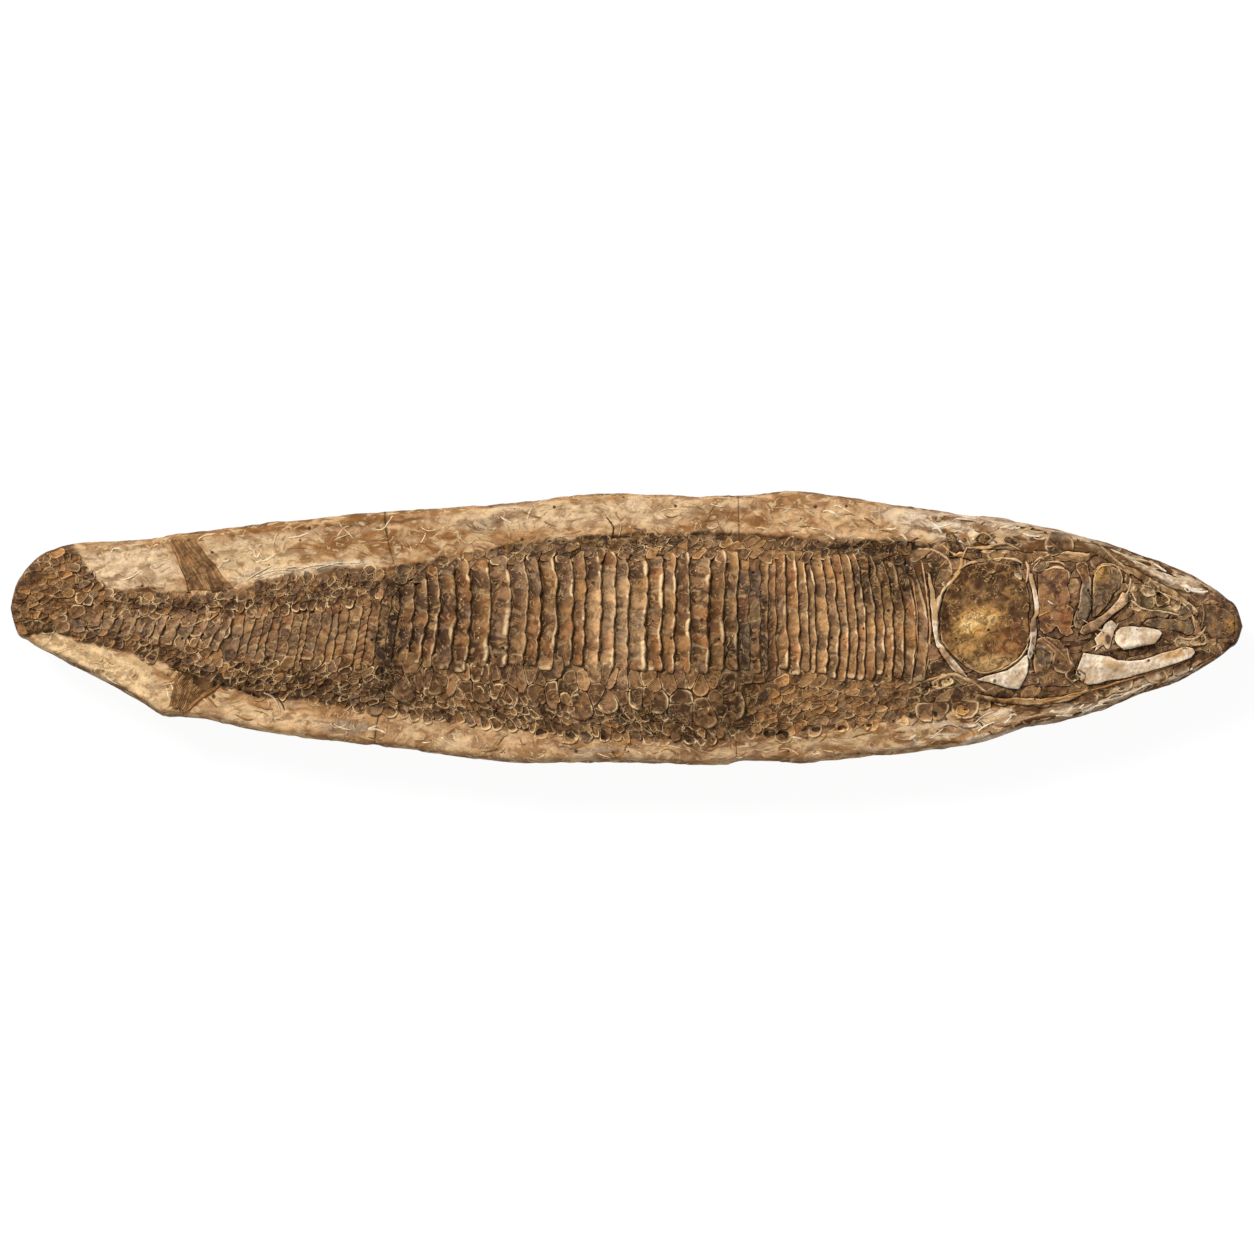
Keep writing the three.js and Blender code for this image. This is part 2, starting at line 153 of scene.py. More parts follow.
# Edges of the nodule and of the body seen from above, as (x, y)
NODULE_BACK = Line((
    (-276.5, 9), (-274.5, 18), (-271, 24.5), (-264, 32), (-255, 36.5), (-228, 39), (-174, 45.5), (-102, 53),
    (-48, 56.5), (-21, 60), (51, 59.5), (74, 61.5), (96, 59.5), (132, 53.5), (186, 46), (231, 33),
    (258, 21.5), (269.5, 13.5), (274.5, 8), (276.5, 1),
))
NODULE_BELLY = Line((
    (-276.5, 9), (-274, -0.5), (-268.5, -5.6), (-255, -13.3), (-244, -18.9), (-233, -24.7), (-222.5, -30.3),
    (-214, -35.6), (-208.5, -39), (-201, -39.4), (-190, -40.4), (-174, -44.3), (-102, -53.7), (-48, -60.3),
    (-18, -60), (10, -60.2), (33, -61.2), (45, -60.8), (52, -59.4), (62, -59.4), (80, -60), (96, -58.6),
    (132, -55), (168, -48.5), (177, -45), (204, -39.5), (231, -29.5), (258, -18), (270.5, -9), (275, -4),
    (276.5, 1),
))
BODY_BACK = Line((
    (-280, 24), (-266, 38), (-254, 42), (-246.7, 35.8), (-243.2, 28.6), (-238.5, 22.7), (-235, 19.6),
    (-225.7, 17.9), (-211.7, 17.3), (-199, 16.5), (-176, 17.5), (-164, 22), (-147, 25), (-109, 27), (-84, 31),
    (-48, 37), (-16, 40.5), (49, 42), (83, 40), (139, 38.5), (168, 37.5), (213, 37), (236, 23.5), (256, 15),
    (266, 17), (280, 12),
))
BODY_BELLY = Line((
    (-280, -8), (-274, -5), (-269.5, -3), (-258.5, -1.5), (-241, -6), (-223, -9.7), (-211.5, -13.7),
    (-202, -18.5), (-178, -26), (-164, -30), (-147, -32), (-109, -37.5), (-79, -42), (-48, -46), (-12, -49.5),
    (33, -51), (78, -47), (114, -43.5), (139, -39), (161, -36), (195, -35.5), (212, -29.5), (227, -24.5),
    (254, -17), (265, -12), (280, -10),
))
CROWN = Line((
    (-276, 1.5), (-230, 3), (-150, 6), (-50, 9), (50, 10), (130, 9), (180, 7.5), (240, 4.5), (276, 2),
))
FLANK_TOP = Line((
    (-250, 12), (-228, 8.5), (-178, 7.5), (-147, 9), (-109, 17), (-93, 25), (-48, 32.5), (-12, 34),
    (49, 34), (139, 31),
))
FLANK_BOTTOM = Line((
    (-250, 2), (-228, -2), (-178, -12.5), (-147, -16), (-109, -18), (-48, -19), (49, -20), (139, -25),
))

OVAL_BOTTOM = Line(((-109, -26), (-60, -28.5), (-20, -34), (20, -38), (49, -38), (139, -40)))
TAIL_HIGH = Line(((-276, 14), (-270, 23), (-262, 31), (-254, 35), (-247, 33), (-243, 26)))
TAIL_LOW = Line(((-276, 4), (-270, -3), (-258, -2), (-244, -5)))

# Lines across the fish, as (y, x)
TAIL_END = Line(((-70, TAIL_X), (70, TAIL_X)))
SNOUT_END = Line(((-70, SNOUT_X), (70, SNOUT_X)))
TAIL_FIN_ROOT = Line(((-6, -249), (12, -248), (34, -245)))
TAIL_ROOT = Line(((-30, -184), (-13, -180), (7, -175), (24, -171)))
BREAK_BEHIND = Line((
    (-66, -114), (-39, -111), (-28, -108), (-5, -103.5), (16, -101.5), (25, -103), (40, -107), (66, -109),
))
BREAK_AHEAD = Line(((-68, 50), (-41, 49), (-23, 50), (4, 49.5), (31, 50.5), (68, 50)))
SNOUT_ROOT = Line(((-44, 273), (44, 273)))
SHOULDER = Line(((-44, 129), (-28, 132), (-14, 134), (4, 134.5), (19, 132), (33, 127.5), (40, 125)))


class Grain:
    """Seeded noise over the plan, the same each run."""

    CELLS = 256

    # each layer is shifted, so that the layers don't line up, and their sum is brought back by its usual peak
    SHIFT = (37.1, -19.7)
    LAYERED_PEAK = 1.5

    def __init__(self, seed: int) -> None:
        """Draw the table of values.

        Args:
            seed: Start of the random draw.
        """
        self.table = np.random.default_rng(seed).uniform(-1, 1, (self.CELLS, self.CELLS))

    def at(self, x: Array, y: Array, size: float) -> Array:
        """Give noise between -1 and 1.

        Args:
            x: Along the fish.
            y: Across it.
            size: Size of the noise's lumps.

        Returns:
            The noise at the places.
        """
        column, row = np.floor(x / size).astype(int), np.floor(y / size).astype(int)
        across, up = smooth(0, 1, x / size - column), smooth(0, 1, y / size - row)
        corners = [
            [self.table[(row + j) % self.CELLS, (column + i) % self.CELLS] for i in (0, 1)] for j in (0, 1)
        ]
        return mix(mix(*corners[0], across), mix(*corners[1], across), up)

    def layered(self, x: Array, y: Array, size: float, layers: int = 4) -> Array:
        """Add finer and finer noise to the first, each layer half as large and half as strong.

        Args:
            x: Along the fish.
            y: Across it.
            size: Size of the first layer's lumps.
            layers: How many layers.

        Returns:
            The noise at the places, mostly between -1 and 1.
        """
        shares = [0.5 ** layer for layer in range(layers)]
        shift_x, shift_y = self.SHIFT
        return sum(
            share * self.at(x + shift_x * layer, y + shift_y * layer, size * share)
            for layer, share in enumerate(shares)
        ) / self.LAYERED_PEAK


grain = Grain(7)
drift_x, drift_y = Grain(11), Grain(13)


@dataclass(frozen=True)
class Stain:
    """A soft-edged oval patch, with its middle, half lengths and turn. A dent has no colour."""

    middle: Place
    reach: Place
    turn: float
    colour: str = ""
    strength: float = 1.0
    softness: float = 0.35

    def share(self, x: Array, y: Array) -> Array:
        """Give the patch's cover.

        Args:
            x: Along the fish.
            y: Across it.

        Returns:
            The cover at the places, from 0 to the patch's strength.
        """
        turn = np.radians(self.turn)
        dx, dy = x - self.middle[0], y - self.middle[1]
        along = (dx * np.cos(turn) + dy * np.sin(turn)) / self.reach[0]
        across = (dy * np.cos(turn) - dx * np.sin(turn)) / self.reach[1]
        away = np.hypot(along, across)
        return self.strength * (1 - smooth(1 - self.softness, 1 + self.softness, away))


def painted(plain: str, patches: tuple[Stain, ...], x: Array, y: Array) -> Array:
    """Lay patches of colour over a plain one.

    Args:
        plain: The plain colour.
        patches: The patches, the lowest first.
        x: Along the fish.
        y: Across it.

    Returns:
        A linear colour for each place.
    """
    colour = np.broadcast_to(linear(plain), (len(x), 3))
    for patch in patches:
        colour = mix(colour, linear(patch.colour), patch.share(x, y)[:, None])
    return colour


MATRIX_COLOUR = "#b58a5e"
FISH_COLOUR = "#7e5d42"
SIDE_COLOUR = "#94693f"
DARK_EDGE_COLOUR = "#5a3f28"
PALE_STREAK_COLOUR = "#e2d2ba"
BRUISED_COLOUR = "#96693b"

# Patches of colour on the stone round the fish and on the fish
MATRIX_STAINS = tuple(Stain(*row) for row in (
    ((-223, 26.3), (23, 11.2), -4, "#dfc19b", 0.95),
    ((-251, 34), (4, 6), 20, "#c08a4a", 0.7),
    ((-167, 30.8), (25, 9.9), 10, "#dcbb90", 0.92),
    ((-139, 35.3), (14, 7.2), 8, "#c39a6c", 0.8),
    ((-141, 26.6), (33, 3.0), 7, "#e2cfb2", 0.85),
    ((9.2, 42.6), (1.8, 1.5), 0, "#8a4a35", 0.9),
    ((-235, -17.3), (33, 7.7), -26, "#edca98", 0.97),
    ((-231.5, -23.6), (25, 2.4), -28, "#6b4a33", 0.85),
    ((-164, -39.4), (29, 4.5), -8, "#d4ae80", 0.9),
    ((-126, -44.8), (12, 3.6), -4, "#8c7763", 0.8),
    ((-109, 38.9), (43, 7.2), 3, "#966a40", 0.85),
    ((-147, 47.9), (65, 2.7), 5, "#9a7045", 0.85),
    ((-124, 46.6), (40, 0.7), 4.5, "#5a3f28", 0.75),
    ((-14, 51.5), (61, 6.3), 2, "#d6b790", 0.9),
    ((-61, 47.0), (11, 3.1), 8, "#776352", 0.8),
    ((38, 48.8), (10, 9.9), 0, "#8b6442", 0.8),
    ((65, 48.8), (14, 9.9), 0, "#a97c52", 0.7),
    ((95, 46.6), (24, 7.7), -3, "#cba174", 0.85),
    ((133, 48.8), (21, 4.0), -7, "#d2bca2", 0.9),
    ((184, 43.0), (36, 5.0), -9, "#a58a6e", 0.9),
    ((184, 43.9), (18, 2.2), -8, "#c9b49c", 0.7),
    ((236, 27), (34, 5.0), -26, "#cfb99c", 0.9),
    ((213, -33.4), (50, 5.0), 19, "#a88d70", 0.9),
    ((168, -39.4), (22, 3.6), 14, "#b99e80", 0.7),
    ((110, -51.1), (38, 5.0), 3, "#98744d", 0.85),
    ((65, -49.3), (16, 9.9), 0, "#8e6440", 0.8),
    ((29, -47.9), (29, 6.3), 0, "#6a4f3d", 0.75),
    ((24, -56.5), (29, 2.2), 0, "#a08062", 0.7),
    ((-66, -49.3), (47, 5.0), -6, "#c69f75", 0.85),
    ((-14, -56.0), (11, 2.7), 0, "#8b7a68", 0.7),
))
FISH_STAINS = tuple(Stain(*row) for row in (
    ((-262, 16.4), (15, 19), 0, "#9a6d42", 0.7),
    ((-192, 11.5), (58, 2.7), 0, "#4a3525", 0.55),
    ((-214, 0.2), (36, 5.9), -6, "#8a7159", 0.7),
    ((-219, -11.9), (32, 3.6), -12, "#5b4330", 0.6),
    ((-142, -5.2), (34, 11.7), 0, "#85694e", 0.7),
    ((-133, 13.7), (27, 7.2), 4, "#6b4a36", 0.6),
    ((-127, -11.9), (9, 6.3), 0, "#8e5b36", 0.6),
    ((-105.5, -2.9), (5.5, 28), -6, "#463629", 0.9),
    ((-79, 3.8), (22, 27), 0, "#74533a", 0.7),
    ((-30, 3.8), (27, 27), 0, "#8d6a49", 0.7),
    ((-5, -0.7), (13.5, 24), 0, "#cba57c", 0.85),
    ((28.5, 3.8), (20, 27), 0, "#86623f", 0.7),
    ((-70, -14.2), (9, 9), 0, "#8a5b35", 0.5),
    ((-25, -19.6), (25, 4.5), 0, "#c29c73", 0.6),
    ((-16, 37.6), (67, 4.0), 4, "#4f3d2e", 0.8),
    ((-57, 34.4), (27, 3.6), 8, "#6a4c36", 0.5),
    ((58.7, -5.2), (10, 34), 0, "#6a594b", 0.9),
    ((60, 32.6), (14.4, 8.1), 0, "#8a6038", 0.7),
    ((100.5, 3.8), (31, 27), 0, "#8e6845", 0.6),
    ((93.8, -5.2), (25, 20), 0, "#c2966a", 0.8),
    ((121, 24), (20, 10.8), 0, "#57402c", 0.75),
    ((112, 36.7), (28, 3.2), 2, "#3a2b1e", 0.9),
    ((-57, -35.8), (50, 9.9), -4, "#78573f", 0.6),
    ((24, -37.6), (28, 9), 0, "#574032", 0.8),
    ((67, -32.2), (20, 16), 0, "#93683f", 0.6),
    ((105, -34.9), (34, 9), 0, "#a57d56", 0.7),
    ((-147, -27.7), (40, 6.3), -4, "#6a4d37", 0.6),
    ((157, 34), (27, 4), -2, "#4a3828", 0.8),
    ((195, -0.7), (27, 29), 0, "#80604a", 0.6),
    ((235.6, 11.9), (19, 7.2), -28, "#8f7150", 0.6),
    ((150, -30.8), (22, 5.4), -8, "#5c442f", 0.6),
    ((208.6, -25), (45, 2.7), 14, "#a87b4c", 0.7),
    # painted shade in the gap between the maxilla and the lower jaw
    ((226.6, -10.6), (18, 3.2), 8, "#4b3828", 0.8),
    ((138.8, -5.2), (5.4, 27), 0, "#7a5a3f", 0.5),
    ((266, 3.0), (13, 15), 0, "#6b523e", 0.95),
    ((270.7, 1.6), (3.6, 3.6), 0, "#b87f45", 0.7),
    ((215.3, 34.4), (10, 2.7), -25, "#b89872", 0.6),
))

# Hollows between the skull bones, given as stains whose strength is a depth in millimetres
DENTS = (
    Stain((235.6, 11.9), (16, 5.5), -28, strength=0.5),
    Stain((228, -10.2), (16, 2.2), 8, strength=1.4),
    Stain((213, -4), (9, 5), 30, strength=0.9),
    Stain((157, 31), (24, 2.5), -2, strength=0.9),
    Stain((134, -25), (3.5, 3), 0, strength=1.6),
    Stain((112, 35.6), (27, 1.8), 2, strength=1.0),
)

# Dark strips of the fish, given as stains whose strength is the share of light taken away
DARK_STRIPS = (
    Stain((-106, -2.9), (5.5, 29), -6, strength=0.7),
    Stain((59, -8), (9, 34), 0, strength=0.48),
    Stain((43, -4), (7, 32), -2, strength=0.4),
    Stain((49, -26), (7, 22), 0, strength=0.5),
    Stain((121, 22), (20, 13), 0, strength=0.68),
    Stain((-84, 6), (20, 26), 0, strength=0.36),
    Stain((-44, 6), (22, 26), 0, strength=0.2),
    Stain((112, 36.7), (28, 3), 2, strength=0.5),
    # painted shade in the gap between the maxilla and the lower jaw
    Stain((230, -10.4), (17, 2.6), 8, strength=0.5),
    Stain((22, -40), (28, 7), 0, strength=0.42),
    Stain((-20, 38.5), (66, 3), 4, strength=0.3),
    Stain((-192, 11.5), (50, 2.4), 0, strength=0.4),
    Stain((-140, 18), (34, 7), 5, strength=0.38),
    Stain((-140, -27), (36, 7), -5, strength=0.2),
)


class Ground:
    """The stone that carries the fish: its height, its colours, its dark strips and the shade painted in its
    hollows, over the plan.
    """

    # Width of the rounded edge of the top
    EDGE = 3.0

    # Height in metres from which rays look down for bones
    SKY = 1.0

    # Width of the shade painted beside a bone, of the body's trough and of a mended break
    CONTACT, TROUGH_WIDTH, BREAK_WIDTH = 1.2, 0.9, 0.7

    def __init__(self) -> None:
        """Start without skull bones on the ground."""
        self.bones: KDTree | None = None
        self.roof: BVHTree | None = None

    def note_bones(self, outlines: Array, roof: bmesh.types.BMesh) -> None:
        """Keep the bones and their edges, beside which shade is painted on the ground.

        Args:
            outlines: Plan points of the bones' edges.
            roof: All the bones, in metres.
        """
        self.roof = BVHTree.FromBMesh(roof)
        self.bones = KDTree(len(outlines))
        for index, (x, y) in enumerate(outlines):
            self.bones.insert((x, y, 0), index)
        self.bones.balance()

    def roof_above(self, x: float, y: float) -> Vector | None:
        """Find the top of a skull bone at a point of the plan."""
        return self.roof.ray_cast((x * MM, y * MM, self.SKY), (0, 0, -1))[0]

    def covered(self, x: Array, y: Array) -> Array:
        """Tell which places lie under a skull bone.

        Args:
            x: Along the fish.
            y: Across it.

        Returns:
            True for each place under one.
        """
        under = x > HEAD_START
        for index in np.flatnonzero(under):
            under[index] = self.roof_above(x[index], y[index]) is not None
        return under

    def top(self, x: Array, y: Array) -> Array:
        """Give the height of the ground, or of a skull bone on it.

        Args:
            x: Along the fish.
            y: Across it.

        Returns:
            The height above the table.
        """
        height = self.height(x, y)
        for index in np.flatnonzero(x > HEAD_START):
            hit = self.roof_above(x[index], y[index])
            if hit is not None:
                height[index] = max(height[index], hit.z / MM)
        return height

    def dim(self, x: Array, y: Array) -> Array:
        """Give the share of light colour left in the fish's darkest strips."""
        x, y = x + 2 * drift_x.layered(x, y, 6, 3), y + 2 * drift_y.layered(x, y, 6, 3)
        return np.prod([1 - strip.share(x, y) for strip in DARK_STRIPS], axis=0)

    def bone_edge_shade(self, x: Array, y: Array) -> Array:
        """Give the shade painted on the ground beside a bone's edge: 1 there, and less away from it.

        Args:
            x: Along the fish.
            y: Across it.

        Returns:
            The share at each place.
        """
        shade = np.zeros_like(x)
        for index in np.flatnonzero((x > HEAD_START) & (self.inset(x, y) > -2)):
            away = self.bones.find((x[index], y[index], 0))[2]
            shade[index] = np.exp(-(away / self.CONTACT) ** 2)
        return shade

    def inset(self, x: Array, y: Array) -> Array:
        """Give how far points lie inside the body's ragged edge. It is negative outside."""
        ragged = 0.9 * drift_x.layered(x, y, 8, 3) + 0.5 * drift_y.at(x, y, 1.9)
        return np.minimum(BODY_BACK(x) - y, y - BODY_BELLY(x)) + ragged

    def dome(self, x: Array, y: Array) -> Array:
        """Give the body's height above its own edges.

        Args:
            x: Along the fish.
            y: Across it.

        Returns:
            The height at each place.
        """
        top, low = np.minimum(BODY_BACK(x), NODULE_BACK(x)), np.maximum(BODY_BELLY(x), NODULE_BELLY(x))
        across = np.clip((2 * y - top - low) / np.maximum(top - low, 2), -1, 1)
        return CROWN(x) * (1 - across * across)

    def rim_share(self, x: Array, y: Array) -> Array:
        """Give the way from the body's edge to the nodule's outline.

        Args:
            x: Along the fish.
            y: Across it.

        Returns:
            0 at the edge, 1 at the outline.
        """
        above = (y - BODY_BACK(x)) / np.maximum(NODULE_BACK(x) - BODY_BACK(x), 1)
        below = (BODY_BELLY(x) - y) / np.maximum(BODY_BELLY(x) - NODULE_BELLY(x), 1)
        return np.clip(np.maximum(above, below), 0, 1)

    def edge(self, x: Array, y: Array) -> Array:
        """Give how far places lie inside the nodule's outline, and 0 outside."""
        across = np.minimum(NODULE_BACK(x) - y, y - NODULE_BELLY(x))
        return np.maximum(np.minimum(across, np.minimum(x - TAIL_X, SNOUT_X - x)), 0)

    def cut(self, x: Array, y: Array) -> Array:
        """Mark the mended breaks, with gaps where the filling is sound.

        Args:
            x: Along the fish.
            y: Across it.

        Returns:
            1 on a break, less beside it.
        """
        behind = np.exp(-((x - BREAK_BEHIND(y)) / self.BREAK_WIDTH) ** 2)
        ahead = 0.35 * np.exp(-((x - BREAK_AHEAD(y)) / self.BREAK_WIDTH) ** 2)
        return (behind + ahead) * (0.35 + 0.65 * smooth(-0.5, 0.3, grain.layered(x, y, 11)))

    def height(self, x: Array, y: Array) -> Array:
        """Give the height of the ground, with its roughness.

        Args:
            x: Along the fish.
            y: Across it.

        Returns:
            The height above the table.
        """
        inset, share = self.inset(x, y), self.rim_share(x, y)
        lip = LIP * smooth(LIP_START, LIP_FULL, x)
        over = np.clip(1 - self.edge(x, y) / self.EDGE, 0, 1)
        rim = BED + lip * (1 - 0.6 * share)
        rim = rim + 0.9 * grain.layered(x, y, 13) + 0.55 * grain.layered(x, 1.6 * y, 3.4, 3)
        body = BED + GROUND_LIFT + self.dome(x, y)
        body = body + 0.4 * grain.layered(x, y, 5) + 0.25 * grain.at(x, y, 1.3)
        trough = TROUGH * np.exp(-(inset / self.TROUGH_WIDTH) ** 2)
        trough = trough * smooth(-0.3, 0.4, grain.layered(x, y, 9))
        ground = mix(rim, body, smooth(-0.6, 1.4, inset)) - trough - EDGE_FALL * over ** 2.2
        dents = sum(dent.share(x, y) for dent in DENTS)
        return ground - dents - 0.4 * self.cut(x, y)

    def stain(self, x: Array, y: Array) -> Array:
        """Give the colour of the ground. The edges of its patches drift.

        Args:
            x: Along the fish.
            y: Across it.

        Returns:
            A linear colour for each place.
        """
        edge = self.edge(x, y)
        x = x + 2.6 * drift_x.layered(x, y, 9, 4)
        y = y + 2.2 * drift_y.layered(x, y, 9, 4)
        inside = smooth(-0.7, 0.7, self.inset(x, y))
        streak = grain.layered(x, 5 * edge, 14, 4)
        rim = smooth(100, 165, x) + 0.2
        dark, pale = 0.9 * rim * smooth(0.12, 0.3, streak), 0.7 * rim * smooth(-0.12, -0.3, streak)
        stone = mix(painted(MATRIX_COLOUR, MATRIX_STAINS, x, y), linear(DARK_EDGE_COLOUR), dark[:, None])
        stone = mix(stone, linear(PALE_STREAK_COLOUR), pale[:, None])
        colour = mix(stone, painted(FISH_COLOUR, FISH_STAINS, x, y), inside[:, None])
        upper = smooth(0, 10, y) * smooth(-228, -205, x) * smooth(-92, -120, x)
        colour = mix(colour, linear(BRUISED_COLOUR), (0.7 * upper * smooth(3.6, 2.8, edge))[:, None])
        line = 0.85 * upper * np.exp(-((edge - 3.4) / 0.5) ** 2) * smooth(-0.4, 0.2, grain.layered(x, y, 15))
        colour = mix(colour, linear(DARK_EDGE_COLOUR), line[:, None])
        # a dark line along the outline: partly the stone's darker rind, partly painted shade where the top
        # rounds over
        rind_and_edge_shade = 0.85 * np.exp(-(edge / 1.3) ** 2) * smooth(-0.5, 0.3, grain.layered(x, y, 12))
        return mix(colour, linear(DARK_EDGE_COLOUR), rind_and_edge_shade[:, None])

    def painted_ground_shade(self, x: Array, y: Array) -> Array:
        """Give the shade painted on the ground in its trough, in the grooves of its breaks, in its hollows
        and beside the bones.

        Args:
            x: Along the fish.
            y: Across it.

        Returns:
            A share from 0 to 1.
        """
        trough = 0.75 * np.exp(-(self.inset(x, y) / 1.0) ** 2) * smooth(-0.3, 0.4, grain.layered(x, y, 9))
        dents = 0.4 * sum(dent.share(x, y) for dent in DENTS)
        dark = np.maximum(trough, 0.75 * self.cut(x, y)) + dents
        return np.clip(np.maximum(dark, 0.6 * self.bone_edge_shade(x, y)), 0, 1)


ground = Ground()


def add_node(
    tree: bpy.types.NodeTree, kind: str, links: dict[str | int, object] | None = None, **settings: object,
) -> bpy.types.Node:
    """Add a shader node.

    Args:
        tree: The material's tree.
        kind: Type name of the node.
        links: For each input, a socket to link or a value to set.
        settings: Values of the node's own properties.

    Returns:
        The node.
    """
    node = tree.nodes.new(kind)
    for name, value in settings.items():
        setattr(node, name, value)
    for name, source in (links or {}).items():
        if isinstance(source, Socket):
            tree.links.new(source, node.inputs[name])
        else:
            node.inputs[name].default_value = source
    return node


def maths(tree: bpy.types.NodeTree, operation: str, *values: Socket | float) -> Socket:
    """Work out a value in the shader from others."""
    return add_node(tree, "ShaderNodeMath", dict(enumerate(values)), operation=operation).outputs[0]


def remap(
    tree: bpy.types.NodeTree, value: Socket, low: float, high: float, start: float, end: float,
) -> Socket:
    """Turn a value in the shader to go from start to end while it goes from low to high."""
    ranges = {"Value": value, "From Min": low, "From Max": high, "To Min": start, "To Max": end}
    return add_node(tree, "ShaderNodeMapRange", ranges).outputs[0]


@dataclass(frozen=True)
class Finish:
    """A mineral surface. Its ground colour comes from the piece, and the rest is drawn over it.

    Sizes are the real sizes of the pattern in millimetres: blotches, grit, the curls of the fine threads, and
    the spacing of the pits. Stretch draws the blotches out along the fish. Lines sets how many threads run
    beside each other.
    """

    name: str
    roughness: float
    dark: str
    pale: str
    thread: str
    worn: str
    gap: str
    dark_share: float
    pale_share: float
    thread_share: float
    pit_share: float
    blotch: float = 4.5
    stretch: float = 1.0
    grit: float = 0.8
    curl: float = 7.0
    pit: float = 5.0
    bump: float = 0.35
    lines: float = 4.0

    def material(self) -> bpy.types.Material:
        """Make the material.

        Returns:
            The material, named for the mineral.
        """
        material = bpy.data.materials.new(self.name)
        material.use_nodes = True
        tree = material.node_tree
        tree.nodes.clear()
        place = add_node(tree, "ShaderNodeTexCoord").outputs["Object"]
        stain, wear, painted_shade = (
            add_node(tree, "ShaderNodeAttribute", attribute_name=title).outputs[output]
            for title, output in (("Stain", "Color"), ("Wear", "Fac"), ("Depth", "Fac"))
        )
        drawn_out = add_node(
            tree, "ShaderNodeVectorMath", {0: place, 1: (1 / self.stretch, 1.0, 1.0)}, operation="MULTIPLY",
        ).outputs[0]
        blotch, grit, curl, broad = (
            add_node(
                tree, "ShaderNodeTexNoise",
                {"Vector": source, "Scale": 1 / (size * MM), "Detail": detail, "Distortion": swirl},
            ).outputs["Fac"]
            for source, size, detail, swirl in (
                (drawn_out, self.blotch, 6.0, 0.8), (place, self.grit, 2.0, 0.0),
                (drawn_out, self.curl, 2.0, 1.8), (place, 4.0, 2.0, 0.0),
            )
        )

        # fine curled threads: each pale line has a dark line on one side of it, which is its painted shadow
        run = maths(tree, "FRACT", maths(tree, "MULTIPLY", curl, self.lines))
        broken = remap(tree, broad, 0.44, 0.56, 0.0, self.thread_share)
        thread, beside = (
            maths(tree, "MULTIPLY", remap(tree, run, near, far, 1.0, 0.0), broken)
            for near, far in ((0.18, 0.3), (0.36, 0.7))
        )

        # small dark pits and small pale specks, of uneven size and only here and there
        holes = add_node(tree, "ShaderNodeTexVoronoi", {"Vector": place, "Scale": 1 / (self.pit * MM)})
        away, draw = holes.outputs["Distance"], holes.outputs["Color"]
        sizes = (
            remap(tree, draw, low, high, 0.0, radius)
            for low, high, radius in ((0.52, 0.9, 0.21), (0.42, 0.2, 0.1))
        )
        pit, speck = (
            remap(tree, maths(tree, "SUBTRACT", size, away), 0.0, 0.035, 0.0, self.pit_share)
            for size in sizes
        )

        shade, light, chipped, speckle = (
            remap(tree, *ranges)
            for ranges in (
                (blotch, 0.49, 0.42, 0.0, self.dark_share), (blotch, 0.53, 0.61, 0.0, self.pale_share),
                (blotch, 0.38, 0.47, 0.2, 1.0), (grit, 0.3, 0.7, 0.8, 1.2),
            )
        )
        worn = maths(tree, "MULTIPLY", wear, chipped)
        colour = add_node(
            tree, "ShaderNodeVectorMath", {0: stain, "Scale": speckle}, operation="SCALE",
        ).outputs[0]
        # the dark line beside each thread is its painted shadow, and the painted shade of the piece darkens
        # the colour toward the gap colour, which the pits take too
        for share, tone in (
            (shade, self.dark), (light, self.pale), (beside, self.dark), (thread, self.thread),
            (worn, self.worn), (pit, self.gap), (speck, self.worn), (painted_shade, self.gap),
        ):
            colour = add_node(
                tree, "ShaderNodeMix", {0: share, 6: colour, 7: (*linear(tone), 1.0)}, data_type="RGBA",
            ).outputs[2]

        # threads stand up, pits go in
        height = maths(tree, "SUBTRACT", maths(tree, "MULTIPLY_ADD", grit, 0.6, thread), pit)
        normal = add_node(
            tree, "ShaderNodeBump", {"Strength": 0.8, "Distance": self.bump * MM, "Height": height},
        ).outputs[0]
        shader = add_node(
            tree, "ShaderNodeBsdfPrincipled",
            {
                "Base Color": colour, "Roughness": self.roughness, "Normal": normal,
                "Specular IOR Level": 0.12,
            },
        )
        add_node(tree, "ShaderNodeOutputMaterial", {"Surface": shader.outputs[0]})
        return material


# Weathered carbonate stone: chalky, dull and blotched, with brown swirls and shell threads
STONE = Finish(
    "carbonate_stone", 0.95, dark="#74481f", pale="#e6c596", thread="#ecd3a8", worn="#e6cfb0", gap="#4a3018",
    dark_share=0.5, pale_share=0.45, thread_share=0.5, pit_share=0.9, blotch=6.0, stretch=1.6, curl=13.0,
    lines=6.0,
)
# Enamel of the tall scales: brown, satin and smooth, rubbed cream along its crests, with shade painted black
# in its gaps
TALL_ENAMEL = Finish(
    "tall_scale_enamel", 0.65,
    dark="#3a220f", pale="#b98c5c", thread="#cfa470", worn="#e8c797", gap="#150b04",
    dark_share=0.4, pale_share=0.3, thread_share=0.45, pit_share=0.9, blotch=5.0, curl=8.0, pit=4.2,
    bump=0.25, lines=5.0,
)
# Enamel of the small scales: darker and more broken, with a cream net of worn rims
ENAMEL = Finish(
    "small_scale_enamel", 0.7,
    dark="#38200e", pale="#a87a4c", thread="#cfa470", worn="#eac896", gap="#180e06",
    dark_share=0.5, pale_share=0.35, thread_share=0.4, pit_share=0.6, blotch=3.5, curl=6.0, pit=4.0,
    bump=0.25,
)
# Fin rays: dark, fibrous and satin
FIN_RAY = Finish(
    "fin_ray_mineral", 0.7, dark="#46301b", pale="#9a7850", thread="#b08a60", worn="#c39c6c", gap="#22160c",
    dark_share=0.4, pale_share=0.4, thread_share=0.4, pit_share=0.4, blotch=3.0,
)
